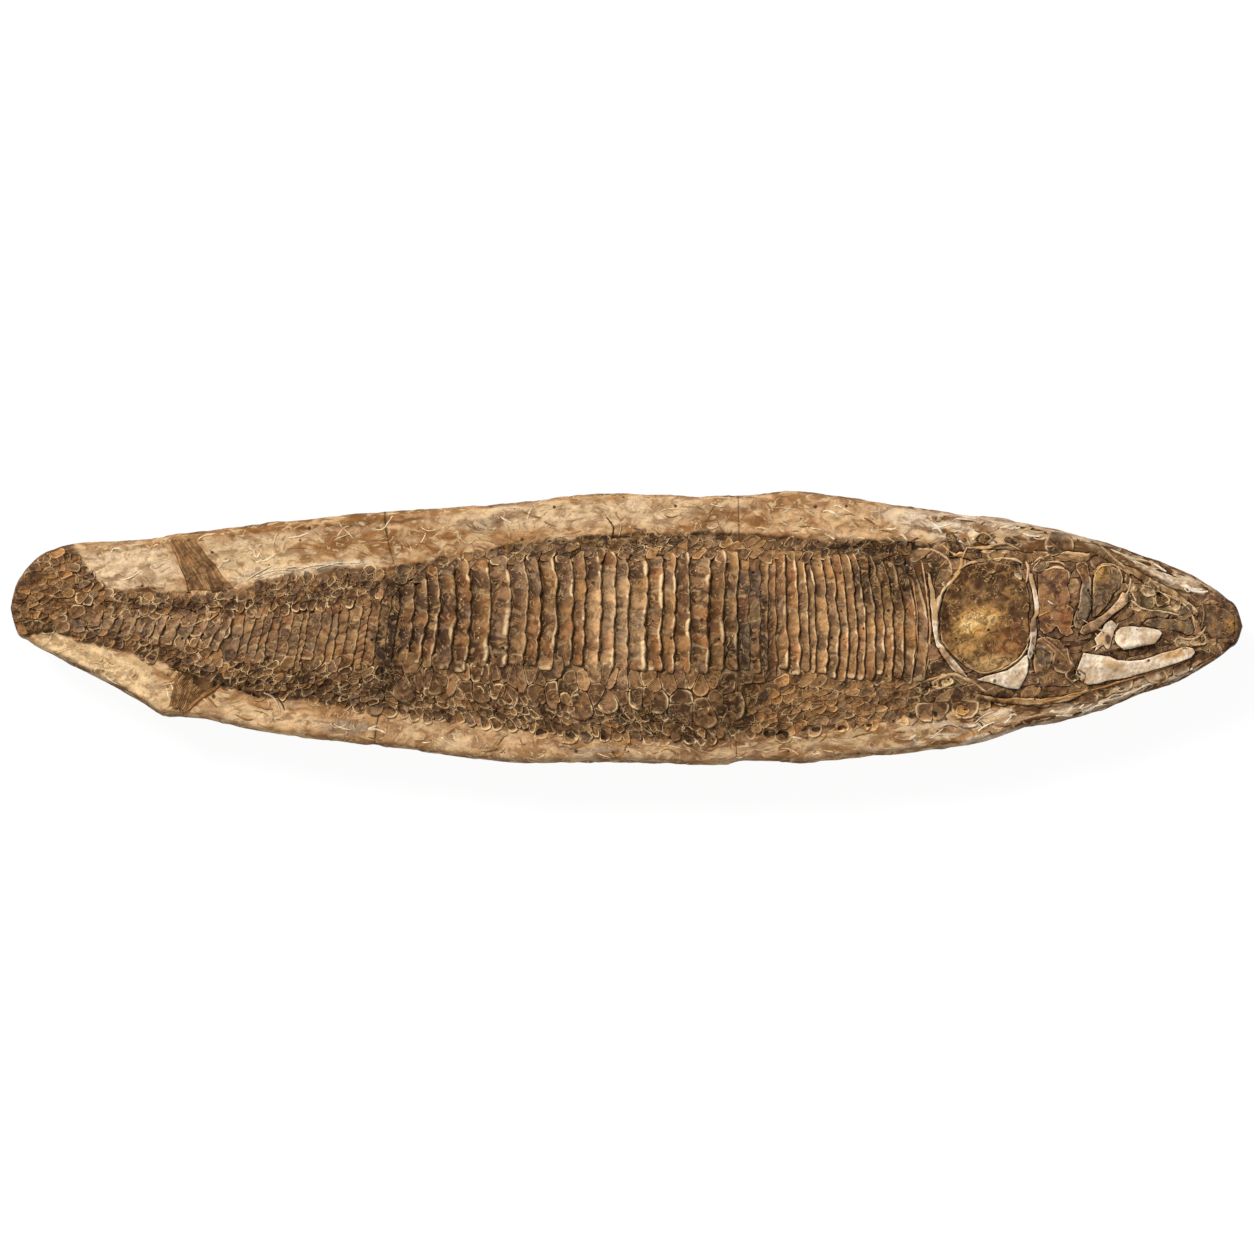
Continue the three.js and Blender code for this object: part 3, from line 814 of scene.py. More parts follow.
# Brown fossil bone: waxy and mottled, with pale grains
BROWN_BONE = Finish(
    "brown_bone", 0.6, dark="#3f2711", pale="#a97d48", thread="#c89c68", worn="#d6b184", gap="#1a1008",
    dark_share=0.65, pale_share=0.5, thread_share=0.6, pit_share=0.95, blotch=4.5, curl=7.0, pit=4.4,
    lines=6.0,
)
# Pale fossil bone: chalky cream, smooth, with tan hairlines
PALE_BONE = Finish(
    "pale_bone", 0.7, dark="#c09a6c", pale="#f6ead8", thread="#a57b4c", worn="#f4e6d0", gap="#4a2f18",
    dark_share=0.35, pale_share=0.55, thread_share=0.3, pit_share=0.85, blotch=8.0, curl=12.0, pit=4.6,
    bump=0.2,
)
# Thin threads and strokes of bone, shell and dark mineral, and dark lines painted as the shadows of pale
# ridges: plain, in the colour of each
THREAD = Finish(
    "fossil_thread", 0.75, dark="#5a3c20", pale="#ead6b6", thread="#e6cda4", worn="#f0e0c6", gap="#24160b",
    dark_share=0.2, pale_share=0.15, thread_share=0.0, pit_share=0.2, blotch=5.0, bump=0.15,
)


class Dresser:
    """Makes finished pieces: mesh, colours, material and place in the frame."""

    SLOTS = {
        STONE: "stone", TALL_ENAMEL: "scale", ENAMEL: "scale", FIN_RAY: "fin", BROWN_BONE: "brown_bone",
        PALE_BONE: "pale_bone", THREAD: "pale_bone",
    }

    def __init__(self) -> None:
        """Start with no material made."""
        self.materials: dict[Finish, bpy.types.Material] = {}

    def dress(
        self, name: str, mesh: Mesh, finish: Finish, stain: Array, wear: Array, painted_shade: Array,
        *nodes: str,
    ) -> Piece:
        """Give a mesh its colours and material and set it in the frame.

        Args:
            name: Name of the piece.
            mesh: Its mesh, in metres.
            finish: Its surface.
            stain: Linear ground colour of each vertex.
            wear: How rubbed each vertex is.
            painted_shade: How much shade is painted on each vertex, where it lies deep in a gap or beside a
                raised part.
            nodes: Solids that the piece stands for.

        Returns:
            The finished object.
        """
        colours = np.concatenate([np.clip(stain, 0, 1), np.ones((len(stain), 1))], axis=1)
        layer = mesh.color_attributes.new("Stain", "FLOAT_COLOR", "POINT")
        layer.data.foreach_set("color", colours.astype(np.float32).ravel())
        for title, values in (("Wear", wear), ("Depth", painted_shade)):
            layer = mesh.attributes.new(title, "FLOAT", "POINT")
            layer.data.foreach_set("value", np.clip(values, 0, 1).astype(np.float32))
        if finish not in self.materials:
            self.materials[finish] = finish.material()
        mesh.materials.clear()
        mesh.materials.append(self.materials[finish])
        mesh.shade_smooth()
        piece = bpy.data.objects.new(name, mesh)
        bpy.context.scene.collection.objects.link(piece)
        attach(piece, BODY)
        if nodes:
            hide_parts(*nodes)
        triangles = sum(len(face.vertices) - 2 for face in mesh.polygons)
        log.info("%s: %d triangles", name, triangles)
        return piece


dresser = Dresser()


def places_of(mesh: Mesh) -> Array:
    """Give the places of a mesh's vertices.

    Args:
        mesh: The mesh.

    Returns:
        Rows of x, y and z in the mesh's own unit.
    """
    flat = np.empty(len(mesh.vertices) * 3, np.float32)
    mesh.vertices.foreach_get("co", flat)
    return flat.reshape(-1, 3).astype(float)


def set_places(mesh: Mesh, places: Array) -> None:
    """Move a mesh's vertices to the given millimetres."""
    mesh.vertices.foreach_set("co", (places * MM).astype(np.float32).ravel())
    mesh.update()


def mesh_from(bm: bmesh.types.BMesh, name: str) -> Mesh:
    """Turn a bmesh into a mesh and free it.

    Args:
        bm: The bmesh.
        name: Name of the mesh.

    Returns:
        The mesh.
    """
    mesh = bpy.data.meshes.new(name)
    bm.to_mesh(mesh)
    bm.free()
    return mesh


def grow(bm: bmesh.types.BMesh, rim: list[bmesh.types.BMEdge]) -> tuple[list, list]:
    """Extrude a rim of open edges.

    Args:
        bm: The bmesh.
        rim: Its open edges.

    Returns:
        The edges and the vertices of the new rim.
    """
    made = bmesh.ops.extrude_edge_only(bm, edges=rim)["geom"]
    edges = [part for part in made if isinstance(part, bmesh.types.BMEdge) and part.is_boundary]
    return edges, [part for part in made if isinstance(part, bmesh.types.BMVert)]


def face_out(mesh: Mesh) -> None:
    """Turn the faces of closed shells outwards.

    Args:
        mesh: The joined shells.
    """
    bm = bmesh.new()
    bm.from_mesh(mesh)
    bmesh.ops.recalc_face_normals(bm, faces=bm.faces)
    bm.to_mesh(mesh)
    bm.free()


def sheets(name: str, count: int, across: int, along: int) -> tuple[Mesh, Array, Array, Array]:
    """Make flat closed sheets to be shaped.

    Args:
        name: Name of the mesh.
        count: How many sheets.
        across: Steps across each.
        along: Steps along each.

    Returns:
        The mesh, and for each vertex the number of its sheet and its shares across and along.
    """
    bm = bmesh.new()
    for number in range(count):
        bmesh.ops.create_grid(
            bm, x_segments=across, y_segments=along, size=0.5,
            matrix=Matrix.Translation((0.5, 0.5, number)),
        )
    bmesh.ops.holes_fill(bm, edges=[edge for edge in bm.edges if edge.is_boundary], sides=0)
    mesh = mesh_from(bm, name)
    u, v, number = places_of(mesh).T
    return mesh, np.rint(number).astype(int), u, v


def discs(name: str, count: int, sides: int, rings: int) -> tuple[Mesh, Array, Array, Array]:
    """Make closed discs to be shaped, with their faces outwards.

    Args:
        name: Name of the mesh.
        count: How many discs.
        sides: Steps round each.
        rings: Rings of each, from its middle out.

    Returns:
        The mesh, and for each vertex the number of its disc, its ring and its step round.
    """
    bm = bmesh.new()
    for number in range(count):
        bmesh.ops.create_circle(
            bm, cap_ends=True, cap_tris=True, segments=sides, radius=1.0,
            matrix=Matrix.Translation((0, 0, number)) @ Matrix.Rotation(DISC_TURN, 4, "Z"),
        )
    rim = [edge for edge in bm.edges if edge.is_boundary]
    for ring in range(1, rings):
        rim, outer = grow(bm, rim)
        wider = (ring + 1) / ring
        bmesh.ops.scale(bm, vec=(wider, wider, 1), verts=outer)
    bmesh.ops.translate(bm, vec=(0, 0, -DISC_DROP), verts=outer)
    bmesh.ops.holes_fill(bm, edges=rim, sides=0)
    bmesh.ops.recalc_face_normals(bm, faces=bm.faces)
    mesh = mesh_from(bm, name)
    x, y, number = places_of(mesh).T
    step = np.rint(np.arctan2(y, x) * sides / (2 * np.pi)).astype(int) % sides
    return mesh, np.rint(number).astype(int), np.rint(np.hypot(x, y)).astype(int), step


def lay_bake_map(mesh: Mesh, root: Array, spread: Array) -> None:
    """Give a coat of scales its bake map, on an unwrap of the body's own dome.

    Args:
        mesh: The joined scales.
        root: Plan point of each vertex's scale.
        spread: Place of each vertex round that point, on the map.
    """
    middle = (BODY_BACK(root[:, 0]) + BODY_BELLY(root[:, 0])) / 2
    rise = ground.dome(root[:, 0], middle) - ground.dome(root[:, 0], root[:, 1])
    girth = np.sign(root[:, 1] - middle) * np.hypot(root[:, 1] - middle, rise)
    unwrapped = np.stack([root[:, 0], middle + girth], axis=1) / MAP_SPAN + 0.5 + spread
    layer = mesh.uv_layers.new(name="OFBake")
    corners = np.empty(len(mesh.loops), np.int32)
    mesh.loops.foreach_get("vertex_index", corners)
    layer.data.foreach_set("uv", unwrapped[corners].astype(np.float32).ravel())


@dataclass
class StoneBlock:
    """One block of the nodule, between two lines across it.

    Along and across count the steps of its top. Rings give the flanks from the top down: the height, how far
    the sides draw in to the middle, and how far the ends draw in to fixed_x, where that isn't zero.
    """

    node: str
    start: Line
    end: Line
    along: int
    across: int
    fixed_x: float
    rings: tuple[tuple[float, float, float], ...] = (
        (24.0, 0.0, 1.0), (EQUATOR, 0.0, 1.0), (15.0, 0.025, 0.99), (10.5, 0.065, 0.975), (7.0, 0.12, 0.95),
        (3.5, 0.23, 0.88), (0.8, 0.36, 0.815), (0.0, 0.4, 0.8),
    )

    # Share of the length that tapers at an end of the nodule, and the share that its steps are drawn to
    TAPER, DRAWN_TO = 0.06, 0.012

    def plan(self, u: Array, v: Array) -> tuple[Array, Array]:
        """Give plan points of the block.

        Args:
            u: Shares along the block.
            v: Shares across it.

        Returns:
            Places along and across the fish.
        """
        x, y = mix(self.start(np.zeros(1)), self.end(np.zeros(1)), u), np.zeros_like(u)
        for _ in range(5):
            y = mix(NODULE_BELLY(x), NODULE_BACK(x), v)
            x = mix(self.start(y) + CRACK / 2, self.end(y) - CRACK / 2, u)
        return x, y

    def drawn_together(self, u: Array) -> Array:
        """Draw the first steps together."""
        rest = mix(self.DRAWN_TO, 1, (u - self.TAPER) / (1 - self.TAPER))
        return np.where(u < self.TAPER, self.DRAWN_TO * (u / self.TAPER) ** 2, rest)

    def spaced(self, u: Array) -> Array:
        """Draw the steps together where the nodule tapers to its end.

        Args:
            u: Even shares along the block.

        Returns:
            The shares as they are spaced.
        """
        if self.start is TAIL_END:
            return self.drawn_together(u)
        return 1 - self.drawn_together(1 - u) if self.end is SNOUT_END else u

    def build(self) -> Piece:
        """Make the block: a rough top, flanks that draw in, and a flat foot.

        Returns:
            The dressed block.
        """
        bm = bmesh.new()
        bmesh.ops.create_grid(
            bm, x_segments=self.along, y_segments=self.across, size=0.5,
            matrix=Matrix.Translation((0.5, 0.5, 0)),
        )
        mesh = mesh_from(bm, self.node)
        u, v, _ = places_of(mesh).T
        x, y = self.plan(self.spaced(u), v)
        edge = np.abs(2 * v - 1) ** 12
        y = y + 0.5 * edge * grain.layered(x, y, 8)
        hidden = COVERED_DROP * ground.covered(x, y)
        set_places(mesh, np.stack([x, y, ground.height(x, y) - hidden], axis=1))
        self.add_flanks(mesh)
        places = places_of(mesh) / MM
        self.roughen(places)
        set_places(mesh, places)
        face_out(mesh)
        x, y, z = places.T
        side = smooth(BED - 5, BED - 10, z)[:, None]
        streaks = smooth(-0.1, 0.5, grain.layered(x, 4 * z + y, 16))[:, None]
        flank_colour = mix(linear(SIDE_COLOUR), linear(DARK_EDGE_COLOUR), streaks)
        stain = mix(ground.stain(x, y), flank_colour, 0.8 * side)
        # painted shade: the ground's own, and more on the ground under the fish, which shows only between the
        # scales; none on the flanks
        painted_shade = np.maximum(ground.painted_ground_shade(x, y), 0.6 * smooth(0.2, 2.0, ground.inset(x, y))) * (1 - side[:, 0])
        return dresser.dress("matrix_" + self.node, mesh, STONE, stain, np.zeros_like(x), painted_shade, self.node)

    def add_flanks(self, mesh: Mesh) -> None:
        """Extrude the top's edge down ring by ring, and close the foot.

        Args:
            mesh: The top, in metres, which gets the flanks and the foot.
        """
        bm = bmesh.new()
        bm.from_mesh(mesh)
        plan = bm.verts.layers.float_vector.new("plan")
        for vert in bm.verts:
            vert[plan] = vert.co / MM
        rim = [edge for edge in bm.edges if edge.is_boundary]
        for z, inset, length in self.rings:
            rim, ring = grow(bm, rim)
            bases = np.array([vert[plan] for vert in ring])
            middle = (NODULE_BACK(bases[:, 0]) + NODULE_BELLY(bases[:, 0])) / 2
            xs = self.fixed_x + (bases[:, 0] - self.fixed_x) * length if self.fixed_x else bases[:, 0]
            ys = mix(bases[:, 1], middle, inset)
            for vert, x, y in zip(ring, xs, ys):
                vert.co = Vector((x, y, z)) * MM
        bmesh.ops.holes_fill(bm, edges=rim, sides=0)
        bm.verts.layers.float_vector.remove(plan)
        bm.to_mesh(mesh)
        bm.free()

    def roughen(self, places: Array) -> None:
        """Make the flanks lumpy, but not the foot or the faces of a break.

        Args:
            places: Places of the block's vertices, which are moved.
        """
        x, y, z = places.T
        middle = (NODULE_BACK(x) + NODULE_BELLY(x)) / 2
        faces = np.minimum(np.abs(x - BREAK_BEHIND(y)), np.abs(x - BREAK_AHEAD(y)))
        share = smooth(0.4, 3, z) * smooth(BED - 5, BED - 9, z) * smooth(0.5, 5, faces)
        lumps = grain.layered(x + 0.6 * z, 0.5 * y + 1.4 * z, 12)
        places[:, 1] += np.sign(y - middle) * share * 0.8 * lumps


@dataclass
class TallScales:
    """Tall scales of one length of the flank, one plate for each column.

    Each plate rises from behind to a worn crest in front, like a slat, and is made of lumps one above
    another. Rise is a plate's height, and bold the strength of the light and shade painted across it, of its
    wear and of the shade painted in its gaps; the first faint plates are flatter. Lump gives the shortest
    and the longest lump. Wave and scallop bend a plate's edges, crest widens its worn line, toned is the
    share of a lump's own colour, and net shows the joints between lumps.
    """

    name: str
    start: Line
    end: Line
    columns: int
    seed: int
    rise: float = 2.0
    bold: float = 1.0
    faint: int = 0
    lump: Place = (5.5, 11.0)
    across: int = 20
    along: int = 130
    wave: float = 0.8
    scallop: float = 0.8
    crest: float = 1.0
    toned: float = 0.5
    net: float = 0.25
    nodes: tuple[str, ...] = ()

    TONES = ("#4e3018", "#7a5230", "#675041", "#a5743f", "#8f5424", "#452e1c", "#b58a58")
    DRAWS = 997

    # a plate's height, and the light and shade painted across it, dark at its rear edge and light near its
    # crest, by the share across it from its rear edge
    HEIGHTS = (
        (0, 0.04, 0.1, 0.25, 0.6, 0.84, 0.92, 0.965, 1), (-0.6, -0.4, 0.0, 0.4, 0.8, 1.1, 1.15, 0.3, -0.6),
    )
    SHADES = (0, 0.06, 0.2, 0.5, 0.8, 0.92, 1), (0.15, 0.22, 0.42, 0.88, 1.42, 1.6, 0.5)

    # share of a plate's height over which its corners round off, and how deep its ends go in the ground
    CORNER, SUNK_END = 0.035, -0.8

    def build(self) -> Piece:
        """Make the plates, with wavy edges, worn crests and dark gaps.

        Returns:
            The dressed piece.
        """
        rng = np.random.default_rng(self.seed)
        mesh, number, u, v = sheets(self.name, self.columns, self.across, self.along)
        widths = rng.uniform(0.75, 1.3, self.columns)
        edges = np.concatenate([[0], np.cumsum(widths)]) / widths.sum()
        tops, lows = rng.uniform(-2.4, 2.0, self.columns), rng.uniform(-2.2, 2.6, self.columns)
        x = np.full_like(u, self.start(np.zeros(1))[0])
        for _ in range(4):
            y = mix(FLANK_BOTTOM(x) + lows[number], FLANK_TOP(x) + tops[number], v)
            x = mix(self.start(y) + CRACK, self.end(y) - CRACK, mix(edges[number], edges[number + 1], u))
        side = number + np.rint(u)
        bend = self.wave * grain.layered(7.3 * side, y, 10, 2) + 0.6 * drift_x.layered(9.1 * side, y, 4.5, 2)
        ends = np.minimum(v, 1 - v)
        corner = np.clip(1 - ends / self.CORNER, 0, 1) ** 2
        x = x + bend * (1 - 0.4 * corner) + corner * (0.5 - u) * 2.4

        # lumps one above another, each with its own tone
        step = rng.uniform(*self.lump, self.columns)[number]
        run = (y + 3 * (u - 0.5) * rng.normal(0, 1, self.columns)[number] + grain.layered(x, y, 5, 2)) / step
        run = run + rng.uniform(0, 9, self.columns)[number]
        lump, within = np.floor(run).astype(int), run % 1
        tones = np.array([linear(tone) for tone in self.TONES])
        draw = rng.integers(0, len(tones), self.DRAWS)
        key, turn = 31 * lump + 57 * number, smooth(0.8, 1, within)[:, None]
        tone = mix(tones[draw[key % self.DRAWS]], tones[draw[(key + 31) % self.DRAWS]], turn)
        swell = np.sqrt(np.sin(np.pi * within))
        x = x + self.scallop * (swell - 0.7) * (2 * u - 1)

        section = np.interp(u, *self.HEIGHTS)
        strength = np.where(number < self.faint, 0.5, rng.uniform(0.75, 1.2, self.columns)[number])
        lumps = 0.8 * (swell - 0.7) * smooth(0, 0.15, np.minimum(u, 1 - u))
        lumps = lumps + 0.25 * grain.layered(x, y, 3.5, 3)
        lift = self.rise * section * strength * (1 - 0.6 * corner) + lumps
        lift = np.where(ends < 1e-6, self.SUNK_END, lift)
        set_places(mesh, np.stack([x, y, ground.height(x, y) + lift], axis=1))
        face_out(mesh)

        # painted light and shade: across each plate, dark at the rear edge and light near the crest, and over
        # each lump, lighter where it swells and darker at its ends; then the dark strips
        across = mix(1.0, np.interp(u, *self.SHADES), self.bold) * (0.65 + 0.45 * swell) * ground.dim(x, y)
        stain = mix(ground.stain(x, y), tone, self.toned) * across[:, None]
        reach = 0.05 + 0.15 * self.crest * smooth(-0.1, 0.6, grain.layered(x + 90, y, 7, 2))
        crest = smooth(0.94 - 1.6 * reach, 0.94 - 0.8 * reach, u) * smooth(0.99, 0.955, u)
        crest = crest * smooth(-0.5, -0.05, grain.layered(x, y, 6, 3))
        tips = smooth(0.06, 0.02, v) * smooth(-0.1, 0.3, grain.layered(x, y, 5, 2))
        plain = np.where(number < self.faint, 0.3, 1) * (0.3 + 0.7 * self.bold)
        joint = smooth(0.16, 0.06, np.minimum(within, 1 - within))
        joint = joint * smooth(-0.2, 0.2, grain.layered(x, y + 50, 6, 2))
        wear = np.maximum(np.maximum(crest, 0.8 * tips) * plain, self.net * joint) * ground.dim(x, y)
        # painted shade in the gaps at a plate's rear and front edges and at its ends
        painted_shade = np.maximum(smooth(0.13, 0.03, u), smooth(0.955, 0.985, u))
        painted_shade = np.maximum(painted_shade, smooth(0.012, 0.002, ends)) * plain
        piece = dresser.dress("tall_scales_" + self.name, mesh, TALL_ENAMEL, stain, wear, painted_shade, *self.nodes)
        lay_bake_map(mesh, np.stack([x, y], axis=1), np.zeros((len(x), 2)))
        return piece


@dataclass(frozen=True)
class Row:
    """A row of small scales: its share across the strip, and the pitch, size, lean and squareness of each."""

    share: float
    pitch: float
    length: float
    width: float
    lean: float = 0.0
    corners: float = 2.2


class Setting(Enum):
    """How plates lie beside each other."""

    CELLS = "close-set, meeting half way"
    BROKEN = "apart, broken to straight sides"


@dataclass
class Plates:
    """A joined mesh of small closed plates on the ground.

    Each root holds a plate's plan point, half length, half width, lean and squareness, and turns its angle.
    Cells are drawn out by a ratio at an angle. Rim is how worn the rims are, and dish how hollow the plates.
    """

    name: str
    roots: Array
    gap: float
    setting: Setting
    turns: Array | float = 0.0
    drawn: Place = (0.0, 1.0)
    rim: float = 1.0
    dish: float = 1.0

    SIDES = 24

    # a plate from its middle out: share of its size, height if domed and if dished, wear, shade painted in
    # the gap
    RINGS = (
        (0.0, 1.0, 0.4, 0.0, 0.0), (0.35, 0.97, 0.3, 0.0, 0.0), (0.64, 0.92, 0.4, 0.0, 0.1),
        (0.78, 0.85, 0.65, 0.2, 0.2), (0.87, 0.75, 1.0, 1.0, 0.0), (0.96, 0.6, 0.95, 1.0, 0.0),
        (1.0, -0.7, -0.7, 0.3, 0.9),
    )

    # least reach of a plate, angle of the side where shade is painted on it, and its size on the bake map
    LEAST, SHADED_FROM, MAP_SIZE = 0.3, 2.4, 0.0014

    # how many neighbours bound a cell, and how far it may pass its own size
    NEIGHBOURS, CELL_SPAN = 16, 1.85

    # how far a broken plate's corners may pass its own size
    CORNER_SPAN = 1.25

    def reaches(self, angle: Array) -> Array:
        """Give how far each plate reaches from its root.

        Args:
            angle: Angles round a plate.

        Returns:
            A row of reaches for each plate.
        """
        half_length, half_width, lean, corners = (self.roots[:, i:i + 1] for i in (2, 3, 4, 5))
        turned = angle[None, :] - np.broadcast_to(np.atleast_1d(self.turns), len(self.roots))[:, None]
        along, up = np.cos(turned) - lean * np.sin(turned), np.sin(turned)
        span = (np.abs(along / half_length) ** corners + np.abs(up / half_width) ** corners) ** (-1 / corners)
        if self.setting is Setting.BROKEN:
            return self.broken(angle, span)
        turn, ratio = np.radians(self.drawn[0]), self.drawn[1]
        squeeze = np.array([[np.cos(turn), np.sin(turn)], [-np.sin(turn) * ratio, np.cos(turn) * ratio]])
        placed, toward = self.roots[:, :2] @ squeeze.T, squeeze @ np.stack([np.cos(angle), np.sin(angle)])
        offsets = placed[None, :] - placed[:, None]
        apart = (offsets ** 2).sum(axis=2)
        near = np.argsort(apart, axis=1)[:, 1:self.NEIGHBOURS + 1]
        offsets = np.take_along_axis(offsets, near[:, :, None], axis=1)
        apart = np.take_along_axis(apart, near, axis=1)
        half_way = apart[:, :, None] / (2 * np.maximum(offsets @ toward, 1e-3))
        return np.minimum(self.CELL_SPAN * span, half_way.min(axis=1))

    def broken(self, angle: Array, span: Array) -> Array:
        """Break plates to shapes with five to seven straight sides.

        Args:
            angle: Angles round a plate.
            span: Reaches of the whole plates.

        Returns:
            A row of reaches for each plate.
        """
        rng = np.random.default_rng(len(self.roots))
        reach = self.CORNER_SPAN * span
        for row, corners in zip(reach, rng.integers(5, 8, len(self.roots))):
            sides = (np.arange(corners) + rng.uniform(-0.3, 0.3, corners)) * 2 * np.pi / corners
            far = np.interp(sides, angle, row / self.CORNER_SPAN, period=2 * np.pi)
            far = far * rng.uniform(0.75, 1.05, corners)
            slant = np.cos(angle[:, None] - sides)
            row[:] = np.minimum(row, (far / np.maximum(slant, 0.05)).min(axis=1))
        return reach

    def build(
        self, rng: np.random.Generator, tones: Array, toned: float, rises: Array, finish: Finish,
        nodes: tuple[str, ...],
    ) -> Piece:
        """Make the plates.

        Args:
            rng: Source of the plates' differences.
            tones: Linear colour of each plate.
            toned: How far a plate takes its own colour, and not the ground's.
            rises: Height of each plate.
            finish: Their surface.
            nodes: Solids that they stand for.

        Returns:
            The dressed piece.
        """
        count = len(self.roots)
        angle = np.linspace(0, 2 * np.pi, self.SIDES, endpoint=False)
        reach = self.reaches(angle)
        reach = np.maximum(reach * (1 + 0.02 * rng.normal(0, 1, reach.shape)) - self.gap, self.LEAST)
        mesh, number, ring, step = discs(self.name, count, self.SIDES, len(self.RINGS) - 1)
        share, domed, dished, worn, deep = np.array(self.RINGS)[ring].T
        round_middle = share[:, None] * np.stack([np.cos(angle[step]), np.sin(angle[step])], axis=1)
        root, offset = self.roots[number, :2], round_middle * reach[number, step][:, None]
        hollow = (self.dish * rng.uniform(0.3, 1, count))[number]
        tilt = rng.normal(0, 0.1, (count, 2))[number]
        lift = rises[number] * mix(domed, dished, hollow) + (tilt * offset).sum(axis=1)
        x, y = (root + offset).T
        x = np.clip(x, TAIL_X + MARGIN, SNOUT_X - MARGIN)
        y = np.clip(y, NODULE_BELLY(x) + MARGIN, NODULE_BACK(x) - MARGIN)
        if self.setting is Setting.CELLS:
            under = ground.height(x, y) - COVERED_DROP * ground.covered(x, y)
        else:
            under = ground.top(x, y)
        set_places(mesh, np.stack([x, y, under + lift + 0.1 * grain.at(x, y, 1.1)], axis=1))

        # painted shade on one side of each plate, and in the middle of a dished one
        shaded = share * np.cos(angle[step] - self.SHADED_FROM)
        dim = ground.dim(x, y)
        tint = rng.uniform(0.65, 2.0, count)[number] * (1 - 0.35 * shaded)
        tint = tint * (1 - 0.5 * hollow * (share < 0.7))
        stain = mix(ground.stain(x, y), tones[number], toned) * (tint * dim)[:, None]
        # worn rims, partly painted light: brighter on the side away from the painted shade
        keen = self.rim * rng.uniform(0.2, 1.7, count)[number] * (1 - 0.4 * shaded)
        wear = worn * keen * smooth(-0.12, 0.22, grain.layered(x, y, 3.2, 2)) * dim
        # painted shade on the plates' walls, and where a plate lies beside a bone
        painted_shade = np.maximum(deep, 0.5 * ground.bone_edge_shade(x, y))
        piece = dresser.dress(self.name, mesh, finish, stain, wear, painted_shade, *nodes)
        lay_bake_map(mesh, root, self.MAP_SIZE * round_middle)
        return piece


@dataclass
class SmallScales:
    """Small scales that cover a strip of the body, from one line across it to the next.

    They are close-set plates: each reaches half way to its neighbours, and no farther than its own size.
    """

    name: str
    start: Line
    end: Line
    low: Line
    high: Line
    rows: tuple[Row, ...]
    seed: int
    rise: float = 1.1
    gap: float = 0.02
    drawn: Place = (-40.0, 1.8)
    rim: float = 1.0
    dish: float = 1.0
    margin: float = 1.0
    tones: tuple[str, ...] = ("#4a3220", "#75532f", "#9c754a", "#75604c", "#9c6e3e")
    nodes: tuple[str, ...] = ()

    # share of a scale's own colour over the ground's, and least distance from the nodule's outline
    TONED, FROM_OUTLINE = 0.5, 2.5

    def roots(self, rng: np.random.Generator) -> Array:
        """Draw where the scales stand.

        Args:
            rng: Source of the scales' differences.

        Returns:
            The plan point, half length, half width, lean and squareness of each.
        """
        found = []
        for index, row in enumerate(self.rows):
            y = float(mix(self.low(np.zeros(1)), self.high(np.zeros(1)), row.share)[0])
            begin, finish = float(self.start(np.array([y]))[0]), float(self.end(np.array([y]))[0])
            steps = max(int((finish - begin) / row.pitch), 1)
            for step in range(steps):
                u = np.clip((step + 0.5 + 0.5 * (index % 2 - 0.5) + rng.normal(0, 0.3)) / steps, 0, 1)
                x = mix(begin, finish, u)
                for _ in range(3):
                    y = float(mix(self.low(np.array([x])), self.high(np.array([x])), row.share)[0])
                    begin, finish = float(self.start(np.array([y]))[0]), float(self.end(np.array([y]))[0])
                    x = mix(begin + row.length / 2, finish - row.length / 2, u)
                size = rng.uniform(0.75, 1.25)
                y += rng.normal(0, 0.26 * row.width)
                found.append((x, y, size * row.length / 2, size * row.width / 2, row.lean, row.corners))
        found = np.array(found)
        x, y = found[:, 0], found[:, 1]
        fringe = self.margin + 2.6 * np.maximum(drift_y.layered(x, y, 6, 2), 0)
        kept = (ground.edge(x, y) > self.FROM_OUTLINE) & (ground.inset(x, y) > fringe)
        return found[kept & ~ground.covered(x, y)]

    def build(self) -> Piece:
        """Make the scales as one joined mesh of closed plates.

        Returns:
            The dressed piece.
        """
        rng = np.random.default_rng(self.seed)
        roots = self.roots(rng)
        plates = Plates(
            self.name, roots, self.gap, Setting.CELLS, drawn=self.drawn, rim=self.rim, dish=self.dish,
        )
        count = len(roots)
        tones = np.array([linear(tone) for tone in self.tones])[rng.integers(0, len(self.tones), count)]
        sunk = 0.35 + 0.65 * smooth(0.5, 5, ground.inset(roots[:, 0], roots[:, 1]))
        rises = self.rise * sunk * rng.uniform(0.6, 1.35, count)
        return plates.build(rng, tones, self.TONED, rises, ENAMEL, self.nodes)


